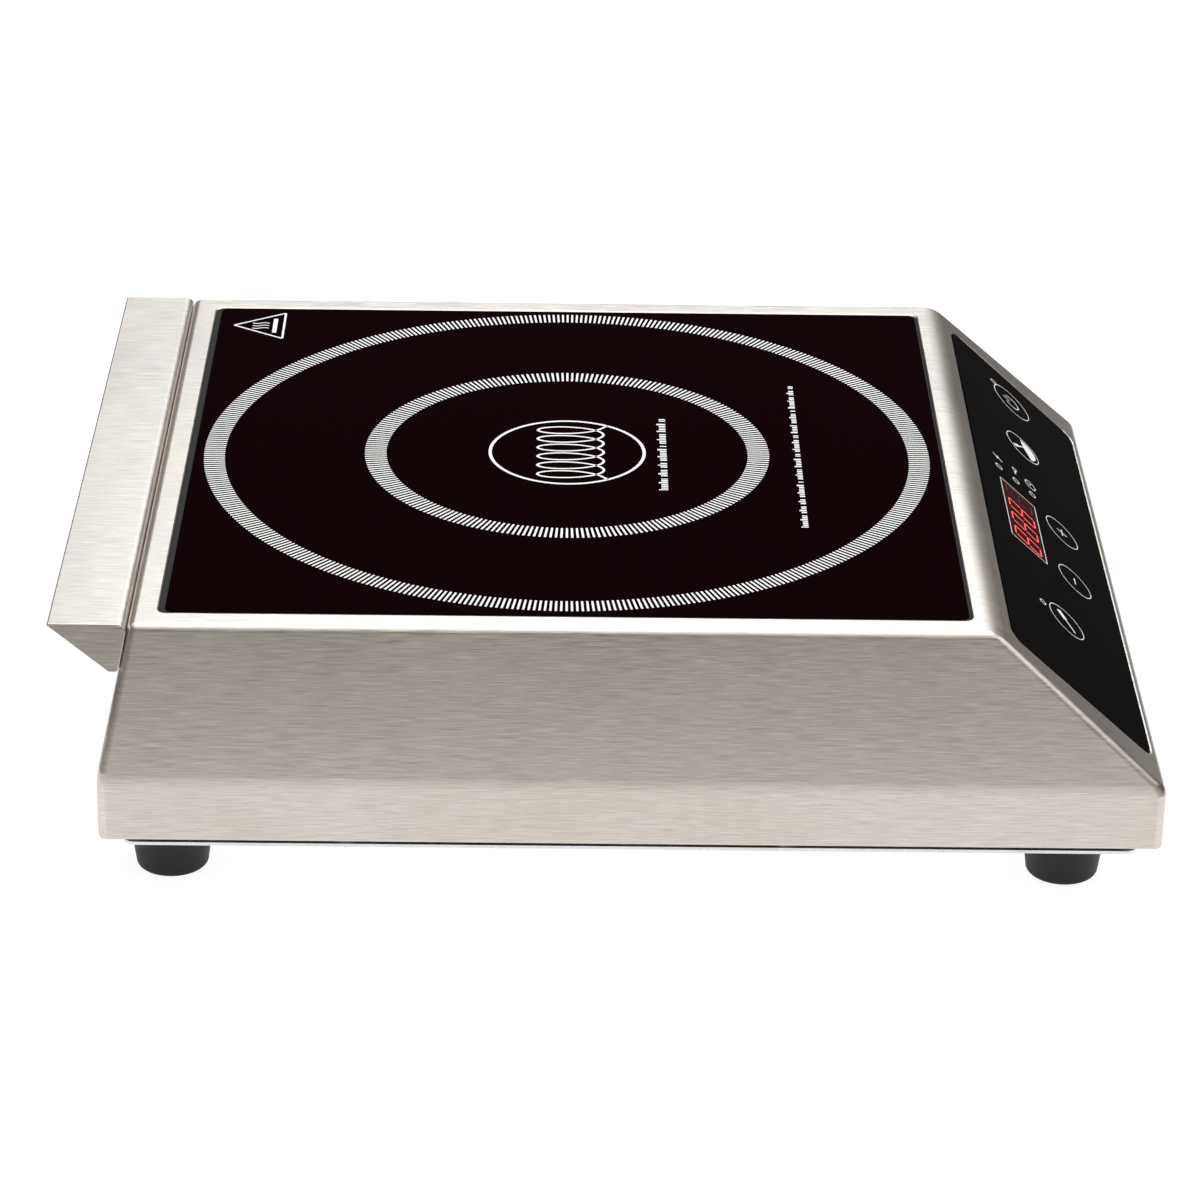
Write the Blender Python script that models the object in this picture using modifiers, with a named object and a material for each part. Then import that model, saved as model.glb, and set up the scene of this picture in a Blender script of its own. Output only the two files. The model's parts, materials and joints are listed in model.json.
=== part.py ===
"""A countertop induction cooker, modelled as the separate pieces it is assembled from.

Units are metres and +Z is up. The cook stands at -Y, where the sloping control panel is. The
origin lies on the table under the middle of the cooker. Each object is one piece, and the empties
fan_axis and sensor_axis carry the two pieces that move.
"""
import math

import bmesh
import bpy
from mathutils import Matrix, Vector

MM = 0.001
GAP = 0.3 * MM                     # clearance between pieces that touch
WELD = 0.01 * MM                   # corners nearer than this are one corner

# ---- housing: a folded sheet-steel shell, open below -------------------------------------------
SHEET = 1.0 * MM
WIDTH = 320 * MM                   # over the upright skirt
TOP_WIDTH = 300 * MM               # flat top, between the side bends
FRONT_Y = -194.5 * MM
REAR_Y = 178.6 * MM
TOP_FRONT_Y = -133.1 * MM
TOP_REAR_Y = 166.5 * MM
TOP_Z = 101.5 * MM
BEND_Z = 45.4 * MM                 # where the sloping walls meet the upright skirt
SKIRT_Z = 22.1 * MM                # lower edge of the skirt
FOLD_RADIUS = 2.5 * MM
FLANGE = 13 * MM                   # return flange round the foot of the skirt
SLOPE_ANGLE = math.atan2(TOP_Z - BEND_Z, TOP_FRONT_Y - FRONT_Y)
REAR_TILT = math.atan2(REAR_Y - TOP_REAR_Y, TOP_Z - BEND_Z)
SIDE_TAPER = (WIDTH - TOP_WIDTH) / 2 / (TOP_Z - BEND_Z)
CLEARANCE_HOLE_R = 2.2 * MM        # for the small screws
SMOOTH_ANGLE = math.radians(35)

# ---- cooking glass, let in flush with the top ---------------------------------------------------
GLASS_OPENING = (280.4 * MM, 282.5 * MM)
GLASS_OPENING_Y = 15.75 * MM       # middle of the opening
GLASS_SIZE = (278 * MM, 278.9 * MM)
GLASS_Y = 15.15 * MM               # the glass sits nearer the front edge of its opening
GLASS_THICK = 4 * MM
GLASS_CORNER = 3 * MM
GLASS_EDGE = 0.6 * MM
OPENING_CORNER = 3.6 * MM
SEAL_THICK = 0.5 * MM
SEAL_OVERLAP = 1 * MM              # how far each seal stays outside the hole below it
LEDGE = 8 * MM                     # width of the step that carries the glass

# ---- control panel, let in flush with the slope; distances run down the slope -------------------
PANEL_OPENING = (279 * MM, 70.4 * MM)
PANEL_DOWN = 44.1 * MM             # middle of the panel, below the top edge of the slope
PANEL_MARGIN = 0.5 * MM
PANEL_THICK = 3 * MM
PANEL_CORNER = 6 * MM
PANEL_LEDGE = 6 * MM
PANEL_EDGE = 0.5 * MM
KEYS = ((115.6, 41.1), (71.8, 41.7), (12.7, 55.3), (-29.0, 56.2), (-78.9, 44.5))
DISPLAY_PLACE = (-11.4 * MM, 31.1 * MM)
DISPLAY_SIZE = (50.3 * MM, 19 * MM, 8 * MM)
TRAY_SIZE = (246 * MM, 62 * MM)
TRAY_DEPTH = 10.4 * MM
TRAY_WALL = 1.5 * MM
BOARD_THICK = 1.6 * MM
TOUCH_SPRING = (4.6 * MM, 0.4 * MM)            # coil and wire radius

# ---- rear guard: a hollow wedge that stands over the rear vents ---------------------------------
GUARD_REAR_Y = 195.16 * MM          # before its thin rear edge is rounded off
GUARD_DROP = 16.9 * MM
GUARD_TIP = 3.2 * MM               # width of the blunt lower edge
GUARD_CLEARANCE = 0.35 * MM
GUARD_FLANGE = 9 * MM
GUARD_LIP = 4 * MM
GUARD_EDGE_R = 1.2 * MM
GUARD_SCREW_X = 110 * MM
GUARD_SCREW_DOWN = 5.4 * MM        # down the rear wall from its top edge

# ---- rear vents, down the rear wall from its top edge ------------------------------------------
VENT_COUNT = 9                     # in each of two groups
VENT_PITCH = 9 * MM
VENT_SIZE = (4.4 * MM, 24 * MM)
VENT_DOWN = 38 * MM
VENT_GROUP_X = 74 * MM

# ---- base pan, feet and the screws driven from below --------------------------------------------
PAN_INSET = (1.5 * MM, 8.5 * MM)        # at the sides; at the front and rear
PAN_CORNER = 4 * MM
PAN_SHEET = 1.2 * MM
PAN_TOP_Z = 20.9 * MM
PAN_LOW_Z = PAN_TOP_Z - PAN_SHEET
PAN_HOLE_R = 2.6 * MM
GRILLE_PITCH = 9 * MM
GRILLE_SLOT = 4.6 * MM
GRILLE_BORDER = 4 * MM
FOOT_X = 134.4 * MM
FOOT_Y = (-162.6 * MM, 155.0 * MM)
FOOT_TOP_R = 15.2 * MM
FOOT_BASE_R = 12.0 * MM
FOOT_EDGE = 1.2 * MM               # chamfer round the sole
FOOT_COLLAR = 3 * MM
FOOT_BORE_R = 2.6 * MM
FOOT_RECESS_R = 5.4 * MM
FOOT_HEAD_Z = 7 * MM               # seat of the screw inside the foot
BASE_SCREW_X = 151.4 * MM
BASE_SCREW_Y = (-62 * MM, 92 * MM)
BOSS_R = 4 * MM
SPACER_R = 5 * MM                  # raised pads that meet the flange of the skirt
# Pan-head screws: head radius, head height, shank radius, shank length.
FOOT_SCREW = (4.6 * MM, 3 * MM, 2.0 * MM, 19 * MM)
BASE_SCREW = (3.6 * MM, 2.2 * MM, 1.8 * MM, 6 * MM)
GUARD_SCREW = (3.4 * MM, 2.2 * MM, 1.8 * MM, 6 * MM)
CARRIER_SCREW = (3.4 * MM, 2.2 * MM, 1.6 * MM, 9 * MM)

# ---- cord gland, through the rear skirt ---------------------------------------------------------
GLAND_X = 110 * MM
GLAND_Z = 34 * MM
GLAND_BORE_R = 4.2 * MM
GLAND_THREAD_R = 7.8 * MM
GLAND_HEX_R = 10.2 * MM
GLAND_NECK_R = 6.4 * MM            # heights below are measured out of the wall
GLAND_FLANGE_R = 9.2 * MM
GLAND_FLANGE_Z = 4.2 * MM
GLAND_NECK_Z = 9 * MM
GLAND_NUT_Z = 13 * MM
GLAND_LOW_Z = -8 * MM
LOCKNUT_LOW_Z = -5.2 * MM

# ---- heating coil and what carries it -----------------------------------------------------------
COIL_Y = 15.5 * MM
COIL_INNER_R = 26 * MM
COIL_OUTER_R = 104 * MM
COIL_Z = (91.5 * MM, 95.6 * MM)
COIL_RIBS = 6
COIL_RIB_DEPTH = 1.2 * MM
CARRIER_R = 109 * MM
CARRIER_FLOOR_Z = (83 * MM, 86.8 * MM)
CARRIER_RIM_Z = 95.2 * MM
CARRIER_RIM = 3 * MM
CARRIER_HOLE_R = 6 * MM            # round the probe's stem
CARRIER_COLLAR = (13 * MM, 16 * MM, 3 * MM)   # inner and outer radius, height
CARRIER_BOSS_X = 80 * MM
CARRIER_BOSS_R = 6 * MM
CARRIER_BORE_DEPTH = 8.6 * MM
LEAD_NOTCH = (14 * MM, 8 * MM)
FERRITE_COUNT = 6
FERRITE_SIZE = (64 * MM, 15 * MM, 4 * MM)
FERRITE_R = 64 * MM
MICA_Z = (96.0 * MM, 96.6 * MM)
MICA_HOLE_R = 12 * MM
BRIDGE_X = 146.5 * MM              # inside the return flange
BRIDGE_TOP_Z = 73.2 * MM
BRIDGE_DEPTH = 40 * MM
BRIDGE_THICK = 1.2 * MM
BRIDGE_FOOT = 13 * MM
SENSOR_TRAVEL_TOP_Z = 97.2 * MM
SENSOR_HEAD_R = 9 * MM
SENSOR_HEAD_EDGE = (1.5 * MM, MM)  # chamfer round the head: across and down
SENSOR_HEAD_DEPTH = 3.7 * MM
SENSOR_STEM_R = 4 * MM
SENSOR_COLLAR = (6.8 * MM, 5.4 * MM, 2 * MM)   # upper and lower radius, height
SENSOR_PLAY = 1.5 * MM             # between the collar and the carrier, at rest
SENSOR_SPRING = (7.4 * MM, 0.5 * MM)           # coil and wire radius

# ---- cooling fan, lying on the base pan ---------------------------------------------------------
FAN_CENTRE = (-74 * MM, -66 * MM)
FAN_SIZE = 120 * MM
FAN_DEPTH = 25 * MM
FAN_BORE_R = 57 * MM
FAN_CORNER = 6 * MM
FAN_HUB_R = 19 * MM
FAN_HUB_EDGE = 2 * MM
FAN_HUB_LOW = 3 * MM               # above the underside of the frame
FAN_SEAT_THICK = 2.4 * MM
FAN_STRUT_WIDTH = 4 * MM
FAN_STRUT_THICK = 2 * MM
FAN_BLADES = 7
FAN_BLADE_CHORD = 24 * MM
FAN_BLADE_THICK = 1.6 * MM
FAN_BLADE_ROOT = 3 * MM            # how deep each blade runs into the hub
FAN_TIP_CLEARANCE = 2 * MM
FAN_BLADE_PITCH = math.radians(34)

# ---- power board and its parts ------------------------------------------------------------------
POWER_BOARD_CENTRE = (62 * MM, 81.5 * MM)
POWER_BOARD_SIZE = (150 * MM, 137 * MM)
POWER_BOARD_Z = 30 * MM
BOSS_INSET = 10 * MM
SINK_CENTRE = (40 * MM, 85 * MM)
SINK_SIZE = (90 * MM, 60 * MM, 32 * MM)
SINK_BASE = 6 * MM
SINK_FINS = 10
SINK_FIN_THICK = 1.8 * MM


def mm(*values):
    """A vector from values in millimetres."""
    return Vector([value * MM for value in values])


# ================================================================================ scene and tools
def clear_scene():
    for item in list(bpy.data.objects):
        bpy.data.objects.remove(item, do_unlink=True)


def new_collection(name):
    collection = bpy.data.collections.new(name)
    bpy.context.scene.collection.children.link(collection)
    return collection


def new_material(name, colour, roughness, metallic=0.0):
    finish = bpy.data.materials.new(name)
    finish.use_nodes = True
    shader = finish.node_tree.nodes["Principled BSDF"]
    shader.inputs["Base Color"].default_value = (*colour, 1.0)
    shader.inputs["Roughness"].default_value = roughness
    shader.inputs["Metallic"].default_value = metallic
    finish.diffuse_color = (*colour, 1.0)
    return finish


def add(name, form, finish):
    """Turn a bmesh into one piece of the cooker."""
    mesh = bpy.data.meshes.new(name)
    form.to_mesh(mesh)
    form.free()
    mesh.shade_smooth()
    mesh.set_sharp_from_angle(angle=SMOOTH_ANGLE)
    mesh.materials.append(finish)
    item = bpy.data.objects.new(name, mesh)
    PARTS.objects.link(item)
    return item


def add_cutter(name, form):
    """Turn a bmesh into a guide body for a Boolean."""
    mesh = bpy.data.meshes.new(name)
    form.to_mesh(mesh)
    form.free()
    item = bpy.data.objects.new(name, mesh)
    CUTTERS.objects.link(item)
    item.hide_render = True
    item.display_type = "WIRE"
    return item


def boolean(item, cutter, operation="DIFFERENCE"):
    step = item.modifiers.new(cutter.name, "BOOLEAN")
    step.operation = operation
    step.solver = "EXACT"
    step.object = cutter


def bevel(item, width, segments=2, angle=30):
    step = item.modifiers.new("rounded edges", "BEVEL")
    step.width = width
    step.segments = segments
    step.limit_method = "ANGLE"
    step.angle_limit = math.radians(angle)


def block(low, high, corner=0.0, segments=4, form=None):
    """A box between two opposite corners, its upright edges rounded by corner."""
    form = form or bmesh.new()
    made = bmesh.ops.create_cube(form, size=1.0)["verts"]
    low = Vector(low)
    high = Vector(high)
    for vertex in made:
        for axis in range(3):
            vertex.co[axis] = low[axis] + (vertex.co[axis] + 0.5) * (high[axis] - low[axis])
    if corner > 0:
        edges = {edge for vertex in made for edge in vertex.link_edges}
        upright = [edge for edge in edges
                   if abs(edge.verts[0].co.z - edge.verts[1].co.z) > 0.5 * (high.z - low.z)]
        bmesh.ops.bevel(form, geom=upright, offset=corner, segments=segments, profile=0.5,
                        affect="EDGES")
    return form


def centred(centre, size, low_z, high_z, corner=0.0, segments=4, form=None):
    """A box given by the middle and the size of its plan."""
    half = (size[0] / 2, size[1] / 2)
    low = (centre[0] - half[0], centre[1] - half[1], low_z)
    high = (centre[0] + half[0], centre[1] + half[1], high_z)
    return block(low, high, corner, segments, form)


def drum(centre, radius, low_z, high_z, sides=24, form=None):
    """An upright cylinder."""
    form = form or bmesh.new()
    place = Matrix.Translation((centre[0], centre[1], (low_z + high_z) / 2))
    bmesh.ops.create_cone(form, cap_ends=True, segments=sides, radius1=radius, radius2=radius,
                          depth=high_z - low_z, matrix=place)
    return form


def slot(centre, width, length, low_z, high_z, form=None):
    """An upright slot cutter with round ends; it runs along Y."""
    return centred(centre, (width, length), low_z, high_z, corner=width * 0.499, segments=2, form=form)


def turned(name, profile, finish, steps=24):
    """A turned piece; its closed (radius, z) profile runs top to bottom on the outer side."""
    form = bmesh.new()
    points = [form.verts.new((radius, 0, height)) for radius, height in profile]
    on_axis = profile[0][0] == 0 and profile[-1][0] == 0
    count = len(points) - 1 if on_axis else len(points)
    for index in range(count):
        form.edges.new((points[index], points[(index + 1) % len(points)]))
    item = add(name, form, finish)
    step = item.modifiers.new("turning", "SCREW")
    step.angle = math.tau
    step.steps = steps
    step.render_steps = steps
    step.use_merge_vertices = True
    step.merge_threshold = 0.00001
    step.use_smooth_shade = True
    return item


def tube(name, points, radius, finish, resolution=2):
    """A wire along a polyline, with flat closed ends."""
    curve = bpy.data.curves.new(name, "CURVE")
    curve.dimensions = "3D"
    curve.bevel_depth = radius
    curve.bevel_resolution = resolution
    curve.use_fill_caps = True
    line = curve.splines.new("POLY")
    line.points.add(len(points) - 1)
    for target, point in zip(line.points, points):
        target.co = (*point, 1.0)
    curve.materials.append(finish)
    item = bpy.data.objects.new(name, curve)
    PARTS.objects.link(item)
    return item


def smooth_path(points, per_span=4):
    """Points along a Catmull-Rom curve through the given ones."""
    padded = [points[0], *points, points[-1]]
    path = []
    for index in range(1, len(padded) - 2):
        a, b, c, d = padded[index - 1:index + 3]
        for step in range(per_span):
            t = step / per_span
            path.append(0.5 * (2 * b + (c - a) * t + (2 * a - 5 * b + 4 * c - d) * t * t
                               + (3 * b - a - 3 * c + d) * t ** 3))
    path.append(points[-1])
    return path


def extruded(name, outline, depth, finish):
    """A flat outline in X and Z, given depth along Y about its own plane."""
    curve = bpy.data.curves.new(name, "CURVE")
    curve.dimensions = "2D"
    curve.fill_mode = "BOTH"
    curve.extrude = depth / 2
    line = curve.splines.new("POLY")
    line.points.add(len(outline) - 1)
    for target, (across, up) in zip(line.points, outline):
        target.co = (across, up, 0, 1.0)
    line.use_cyclic_u = True
    curve.materials.append(finish)
    item = bpy.data.objects.new(name, curve)
    item.rotation_euler = (math.pi / 2, 0, 0)
    PARTS.objects.link(item)
    return item


def put_on_slope(item, across=0.0, down=0.0):
    """Lay a piece in the slope's frame: X across, Y up the slope, Z out of it."""
    item.location = (across,
                     TOP_FRONT_Y - down * math.cos(SLOPE_ANGLE),
                     TOP_Z - down * math.sin(SLOPE_ANGLE))
    item.rotation_euler = (SLOPE_ANGLE, 0, 0)
    return item


def put_on_rear_wall(item, across=0.0, down=0.0):
    """Lay a piece in the rear wall's frame: Z out of the wall, Y down it."""
    item.location = (across,
                     TOP_REAR_Y + down * math.sin(REAR_TILT),
                     TOP_Z - down * math.cos(REAR_TILT))
    item.rotation_euler = (-math.pi / 2 + REAR_TILT, 0, 0)
    return item


# ======================================================================================= housing
def housing_skin():
    """The outer surface of the shell with its return flange, open below."""
    form = block((-WIDTH / 2, FRONT_Y, SKIRT_Z), (WIDTH / 2, REAR_Y, BEND_Z))
    roof = max(form.faces, key=lambda face: face.calc_center_median().z)
    raised = bmesh.ops.extrude_discrete_faces(form, faces=[roof])["faces"][0]
    for vertex in raised.verts:
        vertex.co.x = math.copysign(TOP_WIDTH / 2, vertex.co.x)
        vertex.co.y = TOP_FRONT_Y if vertex.co.y < 0 else TOP_REAR_Y
        vertex.co.z = TOP_Z
    floor = min(form.faces, key=lambda face: face.calc_center_median().z)
    folds = [edge for edge in form.edges if floor not in edge.link_faces]
    bmesh.ops.bevel(form, geom=folds, offset=FOLD_RADIUS, segments=2, profile=0.5, affect="EDGES")
    floor = min(form.faces, key=lambda face: face.calc_center_median().z)
    bmesh.ops.delete(form, geom=[floor], context="FACES_ONLY")
    rim = [edge for edge in form.edges if edge.is_boundary]
    turned_in = bmesh.ops.extrude_edge_only(form, edges=rim)["geom"]
    inner_x = WIDTH / 2 - FLANGE
    for vertex in turned_in:
        if isinstance(vertex, bmesh.types.BMVert):
            vertex.co.x = max(-inner_x, min(inner_x, vertex.co.x))
            vertex.co.y = max(FRONT_Y + FLANGE, min(REAR_Y - FLANGE, vertex.co.y))
    bmesh.ops.remove_doubles(form, verts=form.verts, dist=WELD)
    bmesh.ops.recalc_face_normals(form, faces=form.faces)
    return form


def cut_glass_step(housing):
    """Press the step for the glass into the top, then open it."""
    centre = (0, GLASS_OPENING_Y)
    seat_z = TOP_Z - GLASS_THICK - SEAL_THICK - 2 * GAP
    outer = (GLASS_OPENING[0] + 2 * SHEET, GLASS_OPENING[1] + 2 * SHEET)
    inner = (GLASS_OPENING[0] - 2 * LEDGE, GLASS_OPENING[1] - 2 * LEDGE)
    step = add_cutter("glass_step", centred(centre, outer, seat_z - SHEET, TOP_Z - SHEET / 2,
                                            OPENING_CORNER + SHEET))
    boolean(housing, step, "UNION")
    pocket = add_cutter("glass_pocket", centred(centre, GLASS_OPENING, seat_z, TOP_Z + SHEET,
                                                OPENING_CORNER))
    boolean(housing, pocket)
    hole = add_cutter("glass_hole", centred(centre, inner, seat_z - 2 * SHEET, seat_z + SHEET,
                                            OPENING_CORNER))
    boolean(housing, hole)


def cut_panel_step(housing):
    """Press the step for the control panel into the slope, then open it."""
    centre = (0, 0)
    seat = -(PANEL_THICK + SEAL_THICK + 2 * GAP)
    outer = (PANEL_OPENING[0] + 2 * SHEET, PANEL_OPENING[1] + 2 * SHEET)
    inner = (PANEL_OPENING[0] - 2 * PANEL_LEDGE, PANEL_OPENING[1] - 2 * PANEL_LEDGE)
    step = add_cutter("panel_step", centred(centre, outer, seat - SHEET, -SHEET / 2,
                                            PANEL_CORNER + SHEET))
    pocket = add_cutter("panel_pocket", centred(centre, PANEL_OPENING, seat, SHEET, PANEL_CORNER))
    hole = add_cutter("panel_hole", centred(centre, inner, seat - 2 * SHEET, seat + SHEET,
                                            PANEL_CORNER / 2))
    for cutter in (step, pocket, hole):
        put_on_slope(cutter, down=PANEL_DOWN)
    boolean(housing, step, "UNION")
    boolean(housing, pocket)
    boolean(housing, hole)


def cut_rear_wall(housing):
    """Vent slots and guard screw holes in the sloping rear wall."""
    reach = 4 * SHEET
    form = bmesh.new()
    for side in (-1, 1):
        for index in range(VENT_COUNT):
            across = side * VENT_GROUP_X + (index - (VENT_COUNT - 1) / 2) * VENT_PITCH
            slot((across, VENT_DOWN), VENT_SIZE[0], VENT_SIZE[1], -reach, reach, form)
        drum((side * GUARD_SCREW_X, GUARD_SCREW_DOWN), CLEARANCE_HOLE_R, -reach, reach, 12, form)
    boolean(housing, put_on_rear_wall(add_cutter("rear_wall_holes", form)))


def cut_skirt(housing):
    """The gland's hole in the rear skirt and the screw holes in the return flange."""
    gland = drum((0, 0), GLAND_THREAD_R + GAP, -4 * SHEET, 4 * SHEET, 24)
    gland_cutter = add_cutter("gland_hole", gland)
    gland_cutter.location = (GLAND_X, REAR_Y, GLAND_Z)
    gland_cutter.rotation_euler = (-math.pi / 2, 0, 0)
    boolean(housing, gland_cutter)
    form = bmesh.new()
    for x, y in base_screw_places():
        drum((x, y), CLEARANCE_HOLE_R, SKIRT_Z - SHEET, SKIRT_Z + 2 * SHEET, 12, form)
    boolean(housing, add_cutter("flange_holes", form))


def make_housing():
    housing = add("top_housing", housing_skin(), STEEL)
    shell = housing.modifiers.new("sheet thickness", "SOLIDIFY")
    shell.thickness = SHEET
    shell.offset = -1
    shell.use_even_offset = True
    cut_glass_step(housing)
    cut_panel_step(housing)
    cut_rear_wall(housing)
    cut_skirt(housing)


def set_in(outline, distance):
    """An outline with each of its sides moved inwards by the distance."""
    moved = []
    for index, corner in enumerate(outline):
        corner = Vector(corner)
        before = (Vector(outline[index - 1]) - corner).normalized()
        after = (Vector(outline[(index + 1) % len(outline)]) - corner).normalized()
        moved.append(corner + (before + after) * distance / math.sin(before.angle(after)))
    return moved


def wedge(outline, width):
    """A solid with a (y, z) outline; its ends flare downwards like the housing's sides."""
    form = bmesh.new()
    near = form.faces.new([form.verts.new((-width / 2, y, z)) for y, z in outline])
    run = bmesh.ops.extrude_face_region(form, geom=[near])["geom"]
    bmesh.ops.translate(form, vec=(width, 0, 0),
                        verts=[item for item in run if isinstance(item, bmesh.types.BMVert)])
    for vertex in form.verts:
        vertex.co.x += math.copysign((TOP_Z - vertex.co.z) * SIDE_TAPER, vertex.co.x)
    bmesh.ops.recalc_face_normals(form, faces=form.faces)
    return form


def make_rear_guard():
    """A hollow wedge, open in a long window towards the rear wall, between a flange and a lip."""
    front_top = TOP_REAR_Y + GUARD_CLEARANCE
    front_foot = front_top + GUARD_DROP * math.tan(REAR_TILT)
    low_z = TOP_Z - GUARD_DROP
    outline = ((front_top, TOP_Z), (front_foot, low_z), (front_foot + GUARD_TIP, low_z),
               (GUARD_REAR_Y, TOP_Z))
    form = wedge(outline, TOP_WIDTH)
    bmesh.ops.bevel(form, geom=list(form.edges), offset=GUARD_EDGE_R, segments=3, profile=0.5,
                    affect="EDGES")
    guard = add("rear_guard", form, STEEL)
    inside = wedge(set_in(outline, SHEET), TOP_WIDTH - 2 * SHEET)
    boolean(guard, add_cutter("guard_inside", inside))
    lip_down = GUARD_DROP / math.cos(REAR_TILT) - GUARD_LIP
    window = centred((0, (GUARD_FLANGE + lip_down) / 2),
                     (TOP_WIDTH - 2 * GUARD_FLANGE, lip_down - GUARD_FLANGE), -SHEET, 2 * SHEET)
    boolean(guard, put_on_rear_wall(add_cutter("guard_window", window)))
    form = bmesh.new()
    for side in (-1, 1):
        drum((side * GUARD_SCREW_X, GUARD_SCREW_DOWN), CLEARANCE_HOLE_R, -3 * SHEET, 4 * SHEET, 12,
             form)
    boolean(guard, put_on_rear_wall(add_cutter("guard_screw_holes", form)))


# ================================================================================ glass and panel
def make_cooking_glass():
    glass_z = TOP_Z - GLASS_THICK
    glass = add("glass_top", centred((0, GLASS_Y), GLASS_SIZE, glass_z, TOP_Z, GLASS_CORNER, 5), GLASS)
    bevel(glass, GLASS_EDGE)
    outer = (GLASS_OPENING[0] - 2 * GAP, GLASS_OPENING[1] - 2 * GAP)
    around = (GLASS_SIZE[0] + 2 * GAP, GLASS_SIZE[1] + 2 * GAP)
    inner = [side - 2 * LEDGE + 2 * SEAL_OVERLAP for side in GLASS_OPENING]
    low_z = glass_z - GAP - SEAL_THICK
    seal = add("glass_seal", centred((0, GLASS_OPENING_Y), outer, low_z, TOP_Z - GAP,
                                     OPENING_CORNER - GAP), SILICONE)
    boolean(seal, add_cutter("seal_pocket", centred((0, GLASS_Y), around, glass_z - GAP, TOP_Z + SHEET,
                                                    GLASS_CORNER + GAP)))
    boolean(seal, add_cutter("seal_hole", centred((0, GLASS_OPENING_Y), inner, low_z - SHEET,
                                                  glass_z, GLASS_CORNER)))


def make_control_panel():
    size = (PANEL_OPENING[0] - 2 * PANEL_MARGIN, PANEL_OPENING[1] - 2 * PANEL_MARGIN)
    panel = add("control_glass", centred((0, 0), size, -PANEL_THICK, 0, PANEL_CORNER - PANEL_MARGIN, 5),
                PANEL)
    bevel(panel, PANEL_EDGE)
    put_on_slope(panel, down=PANEL_DOWN)
    pad_high = -PANEL_THICK - GAP
    pad_low = pad_high - SEAL_THICK
    pad = add("control_seal", centred((0, 0), size, pad_low, pad_high, PANEL_CORNER - PANEL_MARGIN),
              SILICONE)
    inner = [side - 2 * PANEL_LEDGE + 2 * SEAL_OVERLAP for side in PANEL_OPENING]
    window = add_cutter("control_seal_window", centred((0, 0), inner, pad_low - SHEET, pad_high + SHEET,
                                                       PANEL_CORNER / 2))
    put_on_slope(window, down=PANEL_DOWN)
    put_on_slope(pad, down=PANEL_DOWN)
    boolean(pad, window)


def make_control_electronics():
    """Tray, board, display and key springs under the control panel, in the slope's frame."""
    rim = -(PANEL_THICK + SEAL_THICK + 3 * GAP + SHEET)
    floor = rim - TRAY_DEPTH
    tray = add("control_tray", centred((0, 0), TRAY_SIZE, floor, rim, 2 * MM, 3), PLASTIC)
    well_size = (TRAY_SIZE[0] - 2 * TRAY_WALL, TRAY_SIZE[1] - 2 * TRAY_WALL)
    well = add_cutter("control_tray_well", centred((0, 0), well_size, floor + TRAY_WALL, rim + SHEET,
                                                   MM, 2))
    board_z = floor + TRAY_WALL + GAP
    board_size = (well_size[0] - 2 * GAP, well_size[1] - 2 * GAP)
    board = add("control_board", centred((0, 0), board_size, board_z, board_z + BOARD_THICK), BOARD)
    for item in (tray, well, board):
        put_on_slope(item, down=PANEL_DOWN)
    boolean(tray, well)
    seat = board_z + BOARD_THICK + GAP
    display = add("display_module", centred((0, 0), DISPLAY_SIZE[:2], seat, seat + DISPLAY_SIZE[2]),
                  PLASTIC)
    put_on_slope(display, DISPLAY_PLACE[0], DISPLAY_PLACE[1])
    spring_top = -PANEL_THICK - GAP
    coil_r, wire_r = TOUCH_SPRING
    for number, (across, down) in enumerate(KEYS, start=1):
        coil = helix(coil_r, seat + wire_r, spring_top - wire_r, turns=2.5, per_turn=8)
        spring = tube(f"touch_spring_{number}", coil, wire_r, SPRING_STEEL, resolution=1)
        put_on_slope(spring, across * MM, down * MM)


def helix(radius, low_z, high_z, turns, per_turn):
    """Points up a helix of even climb."""
    steps = round(turns * per_turn)
    points = []
    for index in range(steps + 1):
        share = index / steps
        angle = turns * math.tau * share
        points.append(Vector((radius * math.cos(angle), radius * math.sin(angle),
                              low_z + (high_z - low_z) * share)))
    return points


# ======================================================================== base, feet and fasteners
def base_screw_places():
    return [(x, y) for x in (-BASE_SCREW_X, BASE_SCREW_X) for y in BASE_SCREW_Y]


def foot_places():
    return [(x, y) for x in (-FOOT_X, FOOT_X) for y in FOOT_Y]


def board_boss_places():
    reach_x = POWER_BOARD_SIZE[0] / 2 - BOSS_INSET
    reach_y = POWER_BOARD_SIZE[1] / 2 - BOSS_INSET
    return [(POWER_BOARD_CENTRE[0] + x, POWER_BOARD_CENTRE[1] + y)
            for x in (-reach_x, reach_x) for y in (-reach_y, reach_y)]


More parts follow.
